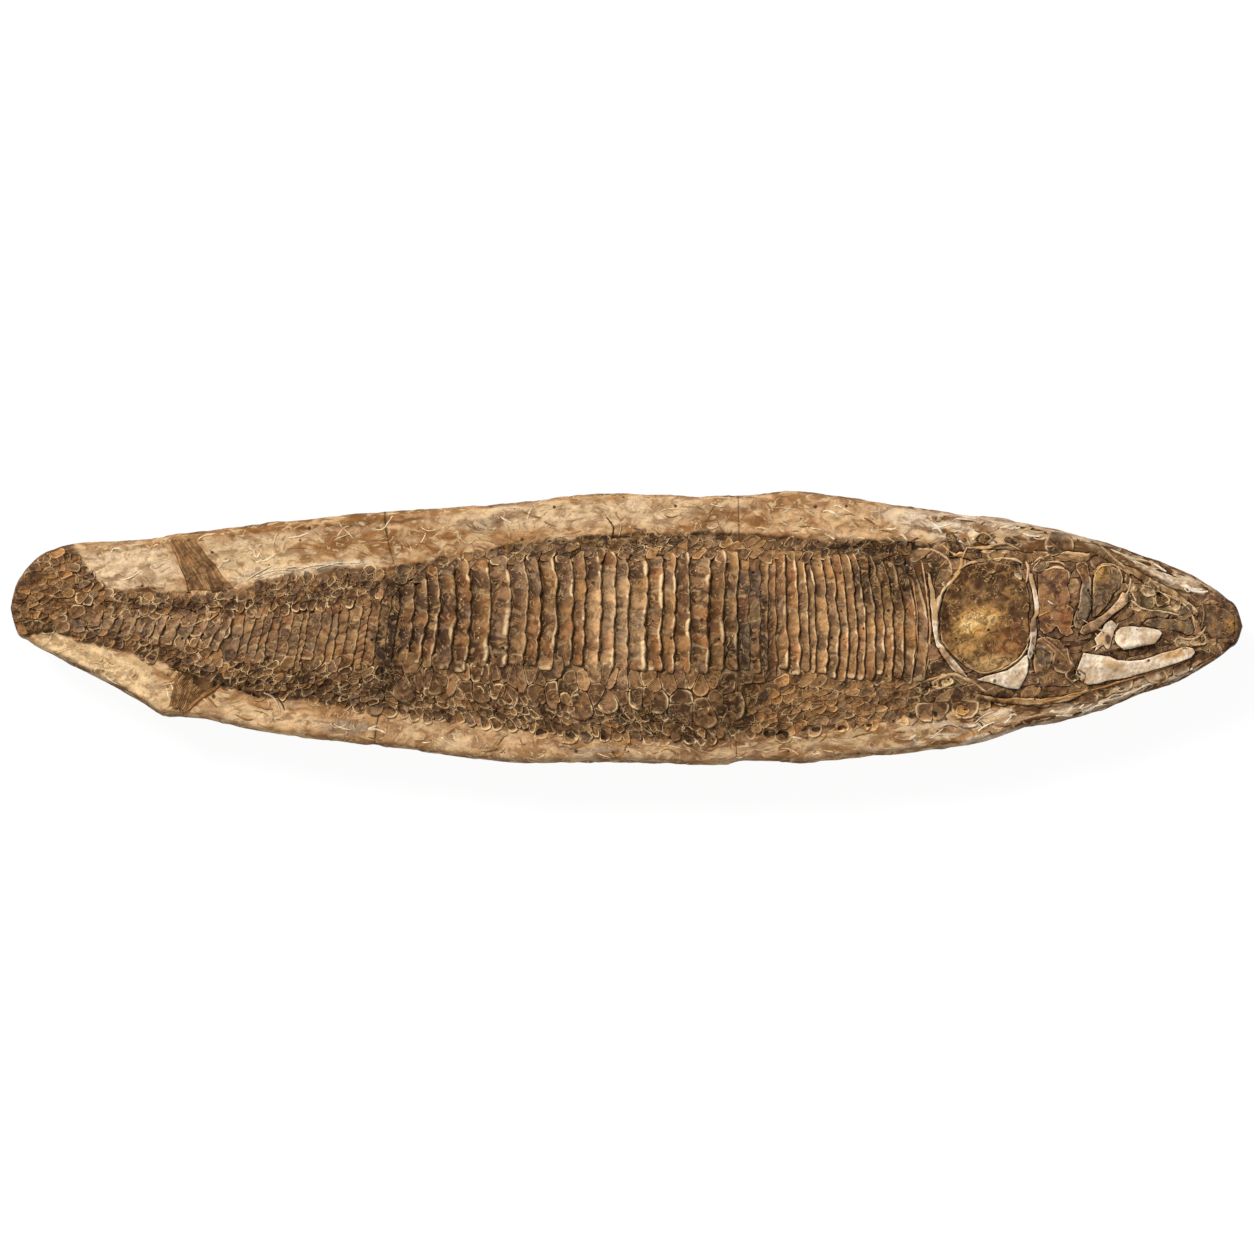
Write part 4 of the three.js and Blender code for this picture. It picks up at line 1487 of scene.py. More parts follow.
@dataclass
class Fin:
    """A fin pressed flat on the stone, with its fine rays as ridges."""

    node: str
    root: tuple[Place, Place]
    tip: tuple[Place, Place]
    rays: int
    colour: str
    rise: float = 0.6
    sway: float = 2.3

    # steps across one ray and along the fin, and the share of its length by which its tip is frayed
    RAY_STEPS, STEPS = 6, 60
    FRAYING = 10

    def build(self) -> Piece:
        """Make the fin as one corrugated plate.

        Returns:
            The dressed piece.
        """
        mesh, _, u, v = sheets(self.node, 1, self.rays * self.RAY_STEPS, self.STEPS)
        root, tip = np.array(self.root, float), np.array(self.tip, float)
        x, y = mix(mix(*root, u[:, None]), mix(*tip, u[:, None]), v[:, None]).T
        frayed_x, frayed_y = (tip[0] - root[0]) / self.FRAYING
        ragged = smooth(0.5, 1, v) * grain.layered(u * 60, np.zeros_like(u), 9, 4)
        x = x + self.sway * grain.layered(x, y, 12, 2) + ragged * frayed_x
        y = y + self.sway * grain.layered(y, x, 12, 2) + ragged * frayed_y
        phase = u * self.rays + 0.7 * grain.layered(x, y, 9, 3)
        ridge = np.abs(np.sin(np.pi * phase)) ** 0.7
        ray = np.floor(phase)
        rim = np.minimum(np.minimum(u, 1 - u) * self.rays, np.minimum(v, 1 - v) * 12)
        lift = self.rise * (0.4 + 0.6 * ridge) + 0.2 * grain.layered(x, y, 2.4, 2)
        z = ground.height(x, y) + np.where(rim < 1e-6, -0.6, lift * smooth(-0.2, 0.5, rim))
        set_places(mesh, np.stack([x, y, z], axis=1))
        face_out(mesh)
        streak = grain.layered(17.3 * ray, 30 * v, 9, 3)
        shade = (0.72 + 0.38 * v) * (1 + 0.65 * streak) * (1 + 0.4 * grain.layered(x, y, 5, 3))
        stain = linear(self.colour) * shade[:, None]
        wear = 0.8 * smooth(0.7, 1, ridge) * smooth(0.1, 0.4, streak)
        # painted shade in the grooves between the rays
        painted_shade = 0.55 * smooth(0.5, 0.05, ridge) * smooth(0.2, -0.3, streak)
        return dresser.dress("rays_" + self.node, mesh, FIN_RAY, stain, wear, painted_shade, self.node)


@dataclass(frozen=True)
class Bone:
    """A skull bone: its solid, finish, colour, unevenness of its outline and patches of other colour.

    A bone with an outline is a plate that rises above the ground. Any other takes the form of its solid.
    """

    node: str
    finish: Finish
    colour: str
    uneven: float = 0.6
    rise: float = 1.3
    dish: float = 0.0
    spots: tuple[Stain, ...] = ()
    outline: tuple[Place, ...] = ()


BONES = (
    Bone(
        "shoulder_girdle", PALE_BONE, "#bf9a6c", 0.6, rise=1.6,
        spots=(
            Stain((140, -25), (8, 9), 0, "#8a6640", 0.7),
            Stain((145, -14), (6, 3), -50, "#7d644c", 0.7),
        ),
        outline=(
            (135, 25.1), (135.9, 24.8), (137.7, 16), (139, 11.7), (139.4, 4.9), (138.9, -3), (139.6, -5.9),
            (141.8, -8.2), (146.4, -13.8), (151, -19), (153, -22.1), (150, -21.8), (145.1, -17.4),
            (140.9, -11.2), (138.4, -7.6), (137.1, -1.7), (136.4, 4.9), (136.2, 12.1), (135, 19.9),
        ),
    ),
    # Its spots are partly its own mottled brown and gold, partly painted shade and light of its hollow dish:
    # dark along the upper and left rim, pale and brightest in the middle and low part.
    Bone(
        "operculum", BROWN_BONE, "#7c5733", 0.5, rise=1.2, dish=2.0,
        spots=(
            Stain((163.8, 24.6), (15, 6.5), 0, "#38230f", 0.95, 0.6),
            Stain((146.8, 18.6), (5, 7), -35, "#4a3018", 0.85, 0.6),
            Stain((156, 15), (13, 6), 15, "#64492f", 0.85, 0.6),
            Stain((173.6, 18), (6, 9), 0, "#4f371e", 0.75, 0.6),
            Stain((157.2, 2.2), (11, 7), 20, "#d3a05a", 0.95, 0.5),
            Stain((154, 2.9), (5.5, 3.2), 30, "#ecca8c", 0.8, 0.5),
            Stain((163, 3.5), (3, 2), 60, "#ecca8c", 0.7, 0.5),
            Stain((152, -8.2), (6, 5), 0, "#c99a5c", 0.8, 0.6),
            Stain((171, -5), (8, 8), 0, "#80502b", 0.85, 0.6),
            Stain((176.2, 6.2), (4.5, 9), 0, "#62432a", 0.8, 0.6),
            Stain((163.1, -15.4), (11, 3), 5, "#cfa870", 0.85, 0.6),
            Stain((141.5, 4.9), (2.6, 12), 0, "#4a3320", 0.85, 0.6),
        ),
        outline=(
            (151, 27.1), (155.9, 28.9), (161.8, 29.6), (169, 29.4), (173.6, 27.8), (176.5, 24.2),
            (178.9, 20.2), (179.9, 15), (180.1, 9.4), (179.7, 4.2), (180.2, -1), (179.3, -5.6),
            (176.7, -11.2), (173.4, -14.4), (169.3, -17.2), (163.8, -19.2), (159.2, -19.5), (154, -18),
            (149, -14.8), (144.1, -9.9), (140.9, -5.9), (140.2, -0.4), (140.5, 6.8), (141.3, 12.4),
            (143.6, 17.9), (147.4, 23.5),
        ),
    ),
    Bone(
        "subopercle", PALE_BONE, "#f0dcc0", 0.3, rise=1.4,
        outline=(
            (156.2, -22.7), (163.8, -20.5), (170.2, -18.8), (174.4, -15.7), (177.4, -12.7), (179.6, -11.2),
            (180, -14.8), (179.3, -20), (177.6, -23.6), (175.7, -27.3), (169.7, -26.4), (165.1, -24.9),
            (160.2, -23.9),
        ),
    ),
    Bone(
        "preopercle", PALE_BONE, "#c9a57a", 0.4, rise=1.9,
        spots=(
            Stain((182, -6), (4, 10), 0, "#6b5040", 0.95),
        ),
        outline=(
            (180, 25.1), (181.7, 24.8), (183.4, 17.9), (184.7, 10.1), (184.6, 5.8), (183.1, 4.5),
            (183.7, -1.7), (182.7, -9.5), (180.6, -14.1), (179.5, -11.2), (180.5, -4.3), (180.4, 0.9),
            (180.8, 3.9), (182.6, 6.2), (182.2, 11.4), (181.2, 17.9), (179.7, 22.9),
        ),
    ),
    Bone(
        "cheek_upper", BROWN_BONE, "#80563e", 0.8, rise=1.2,
        spots=(
            Stain((190, 20), (7, 6), 10, "#5b3f33", 0.9, 0.6),
            Stain((191, 8), (5, 5), 0, "#8f6c4c", 0.7, 0.6),
            Stain((197, 4), (4, 6), 0, "#8a5430", 0.8, 0.6),
            Stain((186, 12), (3, 7), 0, "#9c7048", 0.7, 0.6),
        ),
        outline=(
            (184.5, 26), (189.6, 27.1), (194.5, 27.4), (197.6, 26), (198, 21.5), (196.9, 18.7), (198.5, 14.5),
            (198.3, 10.6), (200.4, 8.9), (199.7, 4), (198.1, 0.5), (200.1, -1.8), (196.6, -3.2),
            (194.1, -2.3), (192.7, 1.2), (190.3, -1.6), (187.5, -2.5), (185, -0.2), (184.5, 6.1),
            (184.3, 14.5),
        ),
    ),
    Bone(
        "cheek_lower", BROWN_BONE, "#7a5843", 0.8, rise=0.9,
        spots=(
            Stain((187, -14), (5, 6), 0, "#8d6845", 0.8, 0.6),
            Stain((196, -19), (5, 5), 0, "#65473a", 0.8, 0.6),
            Stain((190, -22), (5, 3), 0, "#a9825a", 0.7, 0.6),
        ),
        outline=(
            (183.6, -4.6), (188.9, -3.6), (193.8, -4.6), (197.3, -8.3), (198.5, -11.8), (201.1, -16.5),
            (200.2, -20.7), (201.8, -24.2), (198, -25.6), (190.3, -26), (183.3, -25.8), (182, -18.5),
            (182.7, -11.5),
        ),
    ),
    Bone(
        "cheek_hind", BROWN_BONE, "#7a6a56", 0.5, rise=1.4,
        spots=(
            Stain((204, 26), (4, 5), 0, "#7c4f30", 0.9, 0.6),
        ),
        outline=(
            (201.3, 29.3), (205, 30.4), (206.8, 27.1), (207.4, 21.5), (207.9, 15.2), (207.8, 9.6),
            (206.4, 5.2), (203.2, -0.2), (200.1, 0.6), (199.8, 4), (201.1, 7.5), (202.2, 11), (203, 15.9),
            (204.1, 20.1), (202.5, 23.6), (200.9, 27.1),
        ),
    ),
    Bone(
        "suspensorium", BROWN_BONE, "#76604a", 0.4, rise=1.9,
        spots=(
            Stain((211, 25), (4, 5), 40, "#b08444", 0.9, 0.6),
            Stain((213, 20), (3, 3), 0, "#54412c", 0.7, 0.6),
        ),
        outline=(
            (208.6, 21.1), (209.7, 25.3), (212.3, 28.5), (216.2, 28.5), (221.4, 25.7), (221.2, 20.8),
            (220.3, 18), (217.6, 15.2), (215.8, 11.3), (213, 8.5), (210.4, 5.9), (208.3, 5.2), (208.2, 8.2),
            (209, 12.4), (208.5, 17.3),
        ),
    ),
    Bone(
        "jaw_strut", BROWN_BONE, "#ab8868", 0.4, rise=2.2,
        spots=(
            Stain((219, 12), (3, 5), -40, "#dcb998", 0.9),
        ),
        outline=(
            (202.5, -1.8), (203.9, 1), (207.8, 3.3), (212.3, 5.6), (216.5, 9.1), (220, 13.3), (221.8, 16.6),
            (224.6, 15.3), (224.4, 11.9), (221.6, 9.1), (217.7, 6.3), (214.2, 3), (209.7, -0.9), (204.8, -3),
        ),
    ),
    Bone("skull_roof", BROWN_BONE, "#7a5a3b", 1.4),
    Bone("snout_bar", BROWN_BONE, "#94724c", 0.9),
    Bone(
        "snout_plate", BROWN_BONE, "#84704c", 0.5, rise=0.8,
        spots=(
            Stain((238, 12), (2.6, 3), 0, "#4a3720", 0.95, 0.2),
            Stain((231, 13.5), (4, 3), 0, "#c2a276", 0.8, 0.5),
            Stain((246, 9.5), (4, 2), -20, "#d8bc8e", 0.8, 0.5),
        ),
        outline=(
            (228.4, 14.1), (231.6, 16.9), (236.5, 15.3), (242.1, 13.4), (247, 11.5), (251.1, 9.4),
            (251.4, 6.8), (247, 5.8), (241.4, 6.9), (236.5, 7.9), (231.6, 8.9), (228.1, 11),
        ),
    ),
    Bone(
        "upper_jaw", BROWN_BONE, "#78644f", 0.4, rise=1.4,
        outline=(
            (230.9, 2.2), (233.4, 4.3), (237.9, 5.1), (242.1, 4.3), (247, 5.1), (252.1, 4.5), (254.2, 0.5),
            (253.9, -2.3), (251.2, -3), (247.7, -1.3), (242.1, -0.6), (236.5, 0.1), (232.3, 0.8),
        ),
    ),
    Bone(
        "maxilla", PALE_BONE, "#e4cdae", 0.25, rise=1.6,
        outline=(
            (219, -1.6), (221.1, 0.7), (226, 1.2), (232.3, 0.5), (238.3, -0.7), (240, -1.9), (238.3, -4.4),
            (236.6, -6.7), (230.9, -7.6), (226, -9), (222.5, -9.5), (219.7, -7.3), (218.4, -4.8),
        ),
    ),
    Bone(
        "lower_jaw", PALE_BONE, "#f0dcc2", 0.35, rise=1.6,
        spots=(
            Stain((247.5, -10.6), (8, 2.2), 14, "#cf9a52", 0.8),
            Stain((218, -16.5), (5, 2), -20, "#c9a066", 0.7),
            Stain((205, -22), (3, 4), 0, "#d8b98c", 0.7),
        ),
        outline=(
            (204.4, -10.8), (209.2, -11.6), (216.2, -12.4), (219.3, -14), (225.3, -14.3), (230.9, -14),
            (235.1, -12.6), (240.7, -10.9), (245.6, -9.5), (249.5, -8.1), (253.5, -8.7), (254.6, -10.8),
            (253, -13), (247.7, -15.1), (240.7, -17.2), (233.7, -19.3), (226.7, -21.4), (219.7, -22.8),
            (212.7, -24.2), (206.4, -25.3), (203.2, -23.5), (200.9, -21.3), (202.5, -16),
        ),
    ),
    Bone(
        "jaw_joint", PALE_BONE, "#d0ae88", 0.4, rise=1.3,
        spots=(
            Stain((212.4, -1), (1.3, 2), 20, "#54392a", 0.95, 0.25),
            Stain((215.6, -5), (1.6, 2.6), 10, "#54392a", 0.95, 0.25),
        ),
        outline=(
            (209.5, -10.6), (210.7, -7.3), (209.5, -4.4), (212.7, -0.8), (214.1, 2.6), (216.9, 3.7),
            (219.3, 1.5), (217.9, -2.7), (216.3, -8.7), (214.9, -9.4), (213.7, -7.3), (212.1, -8.3),
        ),
    ),
    Bone(
        "snout_tip", BROWN_BONE, "#634c3a", 1.6, rise=0.3,
        spots=(
            Stain((270.4, 1.4), (2.6, 3), 0, "#c08848", 0.85),
        ),
        outline=(
            (255.4, 9.2), (260.3, 9.9), (265.9, 9.9), (269.8, 8.5), (271.9, 5.4), (272.8, 1.2), (271.9, -2.7),
            (269.4, -4.8), (265.2, -4.4), (261.7, -3.6), (257.2, -0.2), (255.8, 4.7),
        ),
    ),
    Bone("throat_bar", BROWN_BONE, "#9c7245", 0.8),
)


@dataclass
class Skull:
    """The bones of the flattened head, each a piece of its own."""

    bones: tuple[Bone, ...] = BONES
    voxel: float = 0.5
    roughness: float = 0.4

    # how deep a plate goes in the ground, and the rise above which shade is painted on the ground beside a
    # bone's edge
    SUNK, DARKENING_RISE = 2.5, 0.5

    def build(self) -> None:
        """Make every bone: a fine mesh of its outline or its solid, with uneven edges and a rough face."""
        outlines, roof = [], bmesh.new()
        for bone in self.bones:
            mesh = self.fine_mesh(bone)
            places = places_of(mesh) / MM
            normals = np.empty(len(mesh.vertices) * 3, np.float32)
            mesh.vertices.foreach_get("normal", normals)
            up = normals.reshape(-1, 3)[:, 2].astype(float)
            x, y, _ = places.T
            if bone.outline:
                places[:, 2] += ground.height(x, y)
            places[:, 0] += bone.uneven * drift_x.layered(x, y, 6, 3)
            places[:, 1] += bone.uneven * drift_y.layered(x, y, 6, 3)
            face = smooth(0.2, 0.7, up)
            middle, half = (x.max() + x.min()) / 2, (x.max() - x.min()) / 2
            level, tall = (y.max() + y.min()) / 2, (y.max() - y.min()) / 2
            within = ((x - middle) / half) ** 2 + ((y - level) / tall) ** 2
            places[:, 2] -= bone.dish * face * np.clip(1 - within, 0, 1)
            places[:, 2] += face * self.roughness * (grain.layered(x, y, 6) + 0.5 * grain.at(x, y, 1.4))
            set_places(mesh, places)
            x, y = places[:, 0], places[:, 1]
            # edges of the raised bones, beside which shade is painted on the ground
            if bone.rise > self.DARKENING_RISE:
                outlines.append(places[np.abs(up) < 0.5][::3, :2])
            roof.from_mesh(mesh)
            stain = painted(bone.colour, bone.spots, x, y) * (1 + 0.4 * grain.layered(x, y, 7))[:, None]
            raised = min(bone.rise, 1)
            wear = raised * smooth(0.985, 0.85, up) * smooth(0.3, 0.5, up)
            wear = wear * smooth(-0.3, 0.2, grain.layered(x, y, 7, 2))
            # painted shade on the steep sides of a raised bone
            painted_shade = 0.8 * raised * smooth(0.5, 0.15, up)
            dresser.dress("bone_" + bone.node, mesh, bone.finish, stain, wear, painted_shade, bone.node)
        ground.note_bones(np.concatenate(outlines), roof)
        roof.free()

    def fine_mesh(self, bone: Bone) -> Mesh:
        """Raise a bone's outline to a plate, or copy its solid, and give it a fine even mesh.

        Args:
            bone: The bone.

        Returns:
            The mesh. A plate's heights are counted from the ground.
        """
        bm = bmesh.new()
        if bone.outline:
            corners = [bm.verts.new(Vector((x, y, -self.SUNK)) * MM) for x, y in bone.outline]
            made = bmesh.ops.extrude_face_region(bm, geom=[bm.faces.new(corners)])["geom"]
            raised = [part for part in made if isinstance(part, bmesh.types.BMVert)]
            bmesh.ops.translate(bm, verts=raised, vec=(0, 0, (self.SUNK + bone.rise) * MM))
            bmesh.ops.recalc_face_normals(bm, faces=bm.faces)
        else:
            bm.from_mesh(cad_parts[bone.node].data)
            bmesh.ops.remove_doubles(bm, verts=bm.verts, dist=0.01 * MM)
        coarse = bpy.data.objects.new("coarse_bone", mesh_from(bm, "coarse_bone"))
        bpy.context.scene.collection.objects.link(coarse)
        remesh = coarse.modifiers.new("fine", "REMESH")
        remesh.mode = "VOXEL"
        remesh.voxel_size = self.voxel * MM
        rounded = coarse.modifiers.new("rounded", "SMOOTH")
        rounded.iterations = 3
        bpy.context.view_layer.update()
        fine = bpy.data.meshes.new_from_object(coarse.evaluated_get(bpy.context.evaluated_depsgraph_get()))
        bpy.data.objects.remove(coarse)
        return fine


@dataclass(frozen=True)
class Ridge:
    """A thin raised line of bone: its places, width, height above the ground and colour."""

    places: tuple[Place, ...]
    width: float
    rise: float
    colour: str


# Ridges on the ground: those of the head, then those beside the tail and on the back
RIDGES = tuple(Ridge(*row) for row in (
    (((146.5, 22.7), (141.5, 16.4), (138.8, 7.4), (138.4, -1.6), (141, -10.6)), 2.4, 1.5, "#d6b68f"),
    (((145.6, 22.7), (151, 28), (161.3, 29.9), (171.7, 28), (177, 22.7)), 1.6, 1.2, "#c29b70"),
    (
        (
            (180, 4), (180.8, -1.2), (179.8, -6), (177.2, -11.6), (173.8, -14.9), (169.4, -17.8),
            (163.8, -19.7),
        ), 0.9, 1.4, "#d9b98c",
    ),
    (((163.6, -30.8), (183.8, -33), (204, -28.6), (225, -22.7), (254, -13.3)), 1.3, 1.2, "#b07f4c"),
    (((212.2, 1.1), (213, -5.2), (210.4, -9.7)), 1.1, 1.2, "#cda98a"),
    (((213, -5.2), (217.6, -1.6), (220.7, 2.9)), 1.1, 1.2, "#cda98a"),
    (((209.5, -1.6), (213, -5.2), (218.5, -9.7)), 1.0, 1.1, "#c9a384"),
    (((231.5, 20), (242.3, 16.4), (250, 11), (253.6, 4.7), (254.5, -1.6)), 1.2, 1.2, "#d2b189"),
    (((212.2, 37.1), (222, 28), (228.8, 23.2)), 1.4, 1.3, "#b08d66"),
    (((125.3, -27.7), (134.3, -23.2), (143.3, -21.4)), 1.4, 1.2, "#b68f63"),
    (((149.2, 32.6), (161.3, 34), (173.5, 32.6), (178, 29.9)), 1.3, 1.4, "#c4a078"),
    (((181.6, 34.4), (192.8, 32.6), (205, 32.2)), 1.2, 1.4, "#c4a078"),
    (((132, 30.8), (134.8, 12.8), (134.8, -14.2), (131.2, -27.7)), 1.2, 1.2, "#c09468"),
    (((127.6, 28), (129.8, 8.3), (129.4, -14.2)), 1.0, 1.2, "#b8895c"),
    (((184, 1.5), (192, 4), (199, 1), (203, 4)), 0.9, 1.1, "#b58a66"),
    (((187, -6.5), (193, -8), (199, -6.5)), 0.9, 1.1, "#b58a66"),
    (((186.8, 29.9), (195.9, 28.8), (198.2, 24.8)), 1.2, 1.4, "#c9a57c"),
    (((204.4, 28.8), (207.9, 20.3), (207.2, 14.6)), 1.1, 1.4, "#a98d6c"),
    (((208.4, 24.8), (213, 28.9), (219.8, 27.4), (221.8, 22.5), (219.4, 16)), 1.0, 1.5, "#c9a77c"),
    (((207.6, 24), (206.8, 17), (209, 10), (208.4, 4)), 0.9, 1.4, "#2c1c10"),
    (((185.1, -4.2), (191.3, -10.4), (200.5, -20.7)), 1.1, 1.6, "#c29c74"),
    (((189.2, -5.6), (196.2, -13.4), (203.2, -18.9)), 0.9, 1.5, "#4a3220"),
    (((136.7, -24.1), (145.9, -20.7), (152.6, -23), (162.9, -29.8)), 1.8, 1.6, "#c9a57a"),
    (((146, 24), (144.5, 30), (139, 34.5), (128, 35.6)), 1.6, 1.6, "#c7a179"),
    (((161.3, 29.9), (166, 33.4), (172, 31.6), (177, 32.8)), 1.4, 1.6, "#d1ad82"),
    (((177, 32.8), (180, 27), (178.6, 20)), 1.5, 1.6, "#d1ad82"),
    (((181, 26), (187, 32), (196, 33.6), (207, 31.6)), 1.3, 1.6, "#c49c70"),
    (((222, 28), (226, 21), (222.8, 13.2), (217.6, 8.2)), 1.2, 1.4, "#cfae88"),
    (((225, 13.4), (230.6, 9.4), (240, 7.6), (250.6, 4.6)), 1.0, 1.4, "#d8bd95"),
    (((230, 19.6), (237.4, 17.4), (243, 12.6), (237, 11.2), (231, 14.2)), 1.0, 1.5, "#d2b288"),
    (((203, 4.6), (208.8, 1.2), (214, -1.4), (219.6, -3.6)), 1.1, 1.5, "#d4b18b"),
    (((207.6, -9.4), (212.6, -6.4), (214.6, -1.2)), 1.1, 1.5, "#d4b18b"),
    (((245.8, -3.2), (251.6, -4.8), (256.4, -3.4), (259.6, 1.6)), 1.3, 1.3, "#c9a87e"),
    (((256.6, 14.4), (258.4, 7), (257.6, -1)), 0.9, 1.0, "#8f7152"),
    (((150, -14.2), (158, -19.6), (166, -18.4), (174, -12)), 1.1, 1.4, "#c29a6a"),
    (((-183.5, -26.5), (-191, -31.5), (-199.2, -38.6)), 1.6, 1.2, "#91602f"),
    (((-168, 22.4), (-158, 25.8), (-146, 26.4)), 0.6, 0.5, "#dcc9ab"),
    (((-160, 24), (-150, 27.6), (-138, 27.2)), 0.6, 0.45, "#d8c3a2"),
    (((-150, 25.6), (-139, 28.6), (-127, 28)), 0.6, 0.5, "#dcc9ab"),
    (((-140, 26.6), (-128, 29.4), (-116, 28.6)), 0.6, 0.5, "#dcc9ab"),
    (((-172, 20.4), (-166, 24.6), (-158, 28.4)), 0.6, 0.45, "#d8c3a2"),
    (((-163, -28.5), (-157.5, -32), (-154.8, -38)), 1.0, 0.9, "#d9c3a0"),
    # a dark line close beside the pale ridge before it, painted as its shadow
    (((-161.4, -28), (-155.6, -31.4), (-153.2, -37)), 0.9, 0.8, "#33241a"),
    (((-9.4, 50.4), (-6.2, 45.4), (-6.8, 40)), 0.9, 0.8, "#4a3520"),
    (((-5.6, 51.6), (-2.6, 46.6), (-3.6, 41)), 0.8, 0.8, "#d9c3a0"),
    (((3, 45), (7.4, 43.2), (8.6, 39)), 0.9, 0.9, "#3d2a1a"),
))

# Ridges that lie over the edges of bones
ROOF_RIDGES = tuple(Ridge(*row) for row in (
    (((152.3, 36.4), (162.9, 36.7), (169.2, 38), (176.6, 35.3)), 1.6, 0.9, "#c39c6c"),
    (((161.3, 30.6), (169.2, 31.4), (176.6, 29.5), (179.6, 23.7)), 1.4, 1.0, "#d1ad82"),
    (((180.9, 28.5), (186.1, 31.4), (188.3, 28.5), (184, 26.9)), 1.1, 0.9, "#cfae84"),
    (((187.2, 26.1), (193.6, 27.6), (197.8, 25.5), (198.3, 21.9)), 1.2, 0.9, "#d6b48a"),
    (((140.7, 38), (145.4, 34.3), (150.2, 30.8), (148.6, 25.4), (142.8, 18.4)), 1.7, 1.2, "#c19763"),
    (((150.2, 30.8), (151.8, 35.3), (152.8, 36.9)), 1.2, 1.0, "#c9a06c"),
    (((208.9, 24.2), (212.6, 28), (218.9, 27.8), (221.4, 25.4)), 1.0, 0.8, "#d8ac68"),
    (
        ((231.6, 20), (240.1, 15.8), (248.5, 11.5), (253.3, 6.3), (254.9, -0.1), (253.3, -2.7)),
        0.8, 0.9, "#e0c8a0",
    ),
    (((226, 12.6), (231, 9.2), (240, 7.4), (251, 5)), 1.2, 0.9, "#dcc29a"),
    (((223.4, 20.4), (226.4, 16.4), (228.6, 12)), 1.4, 1.0, "#d0ad84"),
    (((188.3, 12.6), (189.6, 11.2), (191.4, 10.5)), 0.7, 0.5, "#f0e2cc"),
    (((184, 5.2), (186.6, 6.4), (189.3, 7.3)), 0.9, 0.7, "#c9955c"),
    (((184, -2.2), (190.4, -7.5), (197.8, -14.9), (202, -20.2)), 1.0, 0.8, "#a8805c"),
    # a dark line close beside the pale ridge before it, painted as its shadow
    (((184.8, -1.6), (191.2, -6.9), (198.5, -14.2), (202.6, -19.6)), 0.7, 0.4, "#2c1c10"),
    (((196.7, -8.6), (198.8, -14.9), (203.1, -19.1)), 1.4, 0.9, "#c29c74"),
))


def strokes(seed: int, count: int, reach: Place, tones: tuple[str, ...]) -> tuple[Ridge, ...]:
    """Draw thin strokes of mineral along the stone rim.

    Args:
        seed: Start of the random draw.
        count: How many strokes.
        reach: Where along the nodule they begin and end.
        tones: Colours to draw from.

    Returns:
        The strokes, each along the outline.
    """
    rng = np.random.default_rng(seed)
    found = []
    run = np.linspace(0, 1, 5)
    for _ in range(count):
        body, rim = (BODY_BACK, NODULE_BACK) if rng.uniform() < 0.5 else (BODY_BELLY, NODULE_BELLY)
        x = rng.uniform(*reach) + run * rng.uniform(2, 10)
        share = rng.uniform(0.12, 0.85) + rng.normal(0, 0.16) * run + rng.normal(0, 0.3) * run * (1 - run)
        y = np.clip(mix(body(x), rim(x), share), NODULE_BELLY(x) + 2, NODULE_BACK(x) - 2)
        tone = tones[rng.integers(len(tones))]
        found.append(Ridge(tuple(zip(x, y)), rng.uniform(0.6, 1.5), rng.uniform(0.2, 0.45), tone))
    return tuple(found)


HEAD_STROKES = strokes(71, 130, (118, 256), ("#e9dcc8", "#3c2a1a", "#d5c0a2", "#59432e", "#b99c7a"))
RIM_STROKES = strokes(72, 120, (-206, 118), ("#ead4ae", "#94693c", "#d2b185", "#83603a", "#a97f50"))
TAIL_STROKES = strokes(73, 14, (-240, -206), ("#f2dfbd", "#e4c797", "#b58c5a", "#d2ad7a"))


@dataclass(frozen=True)
class Shard:
    """A broken piece of bone: its middle, half lengths, turn and colour."""

    middle: Place
    reach: Place
    turn: float
    colour: str


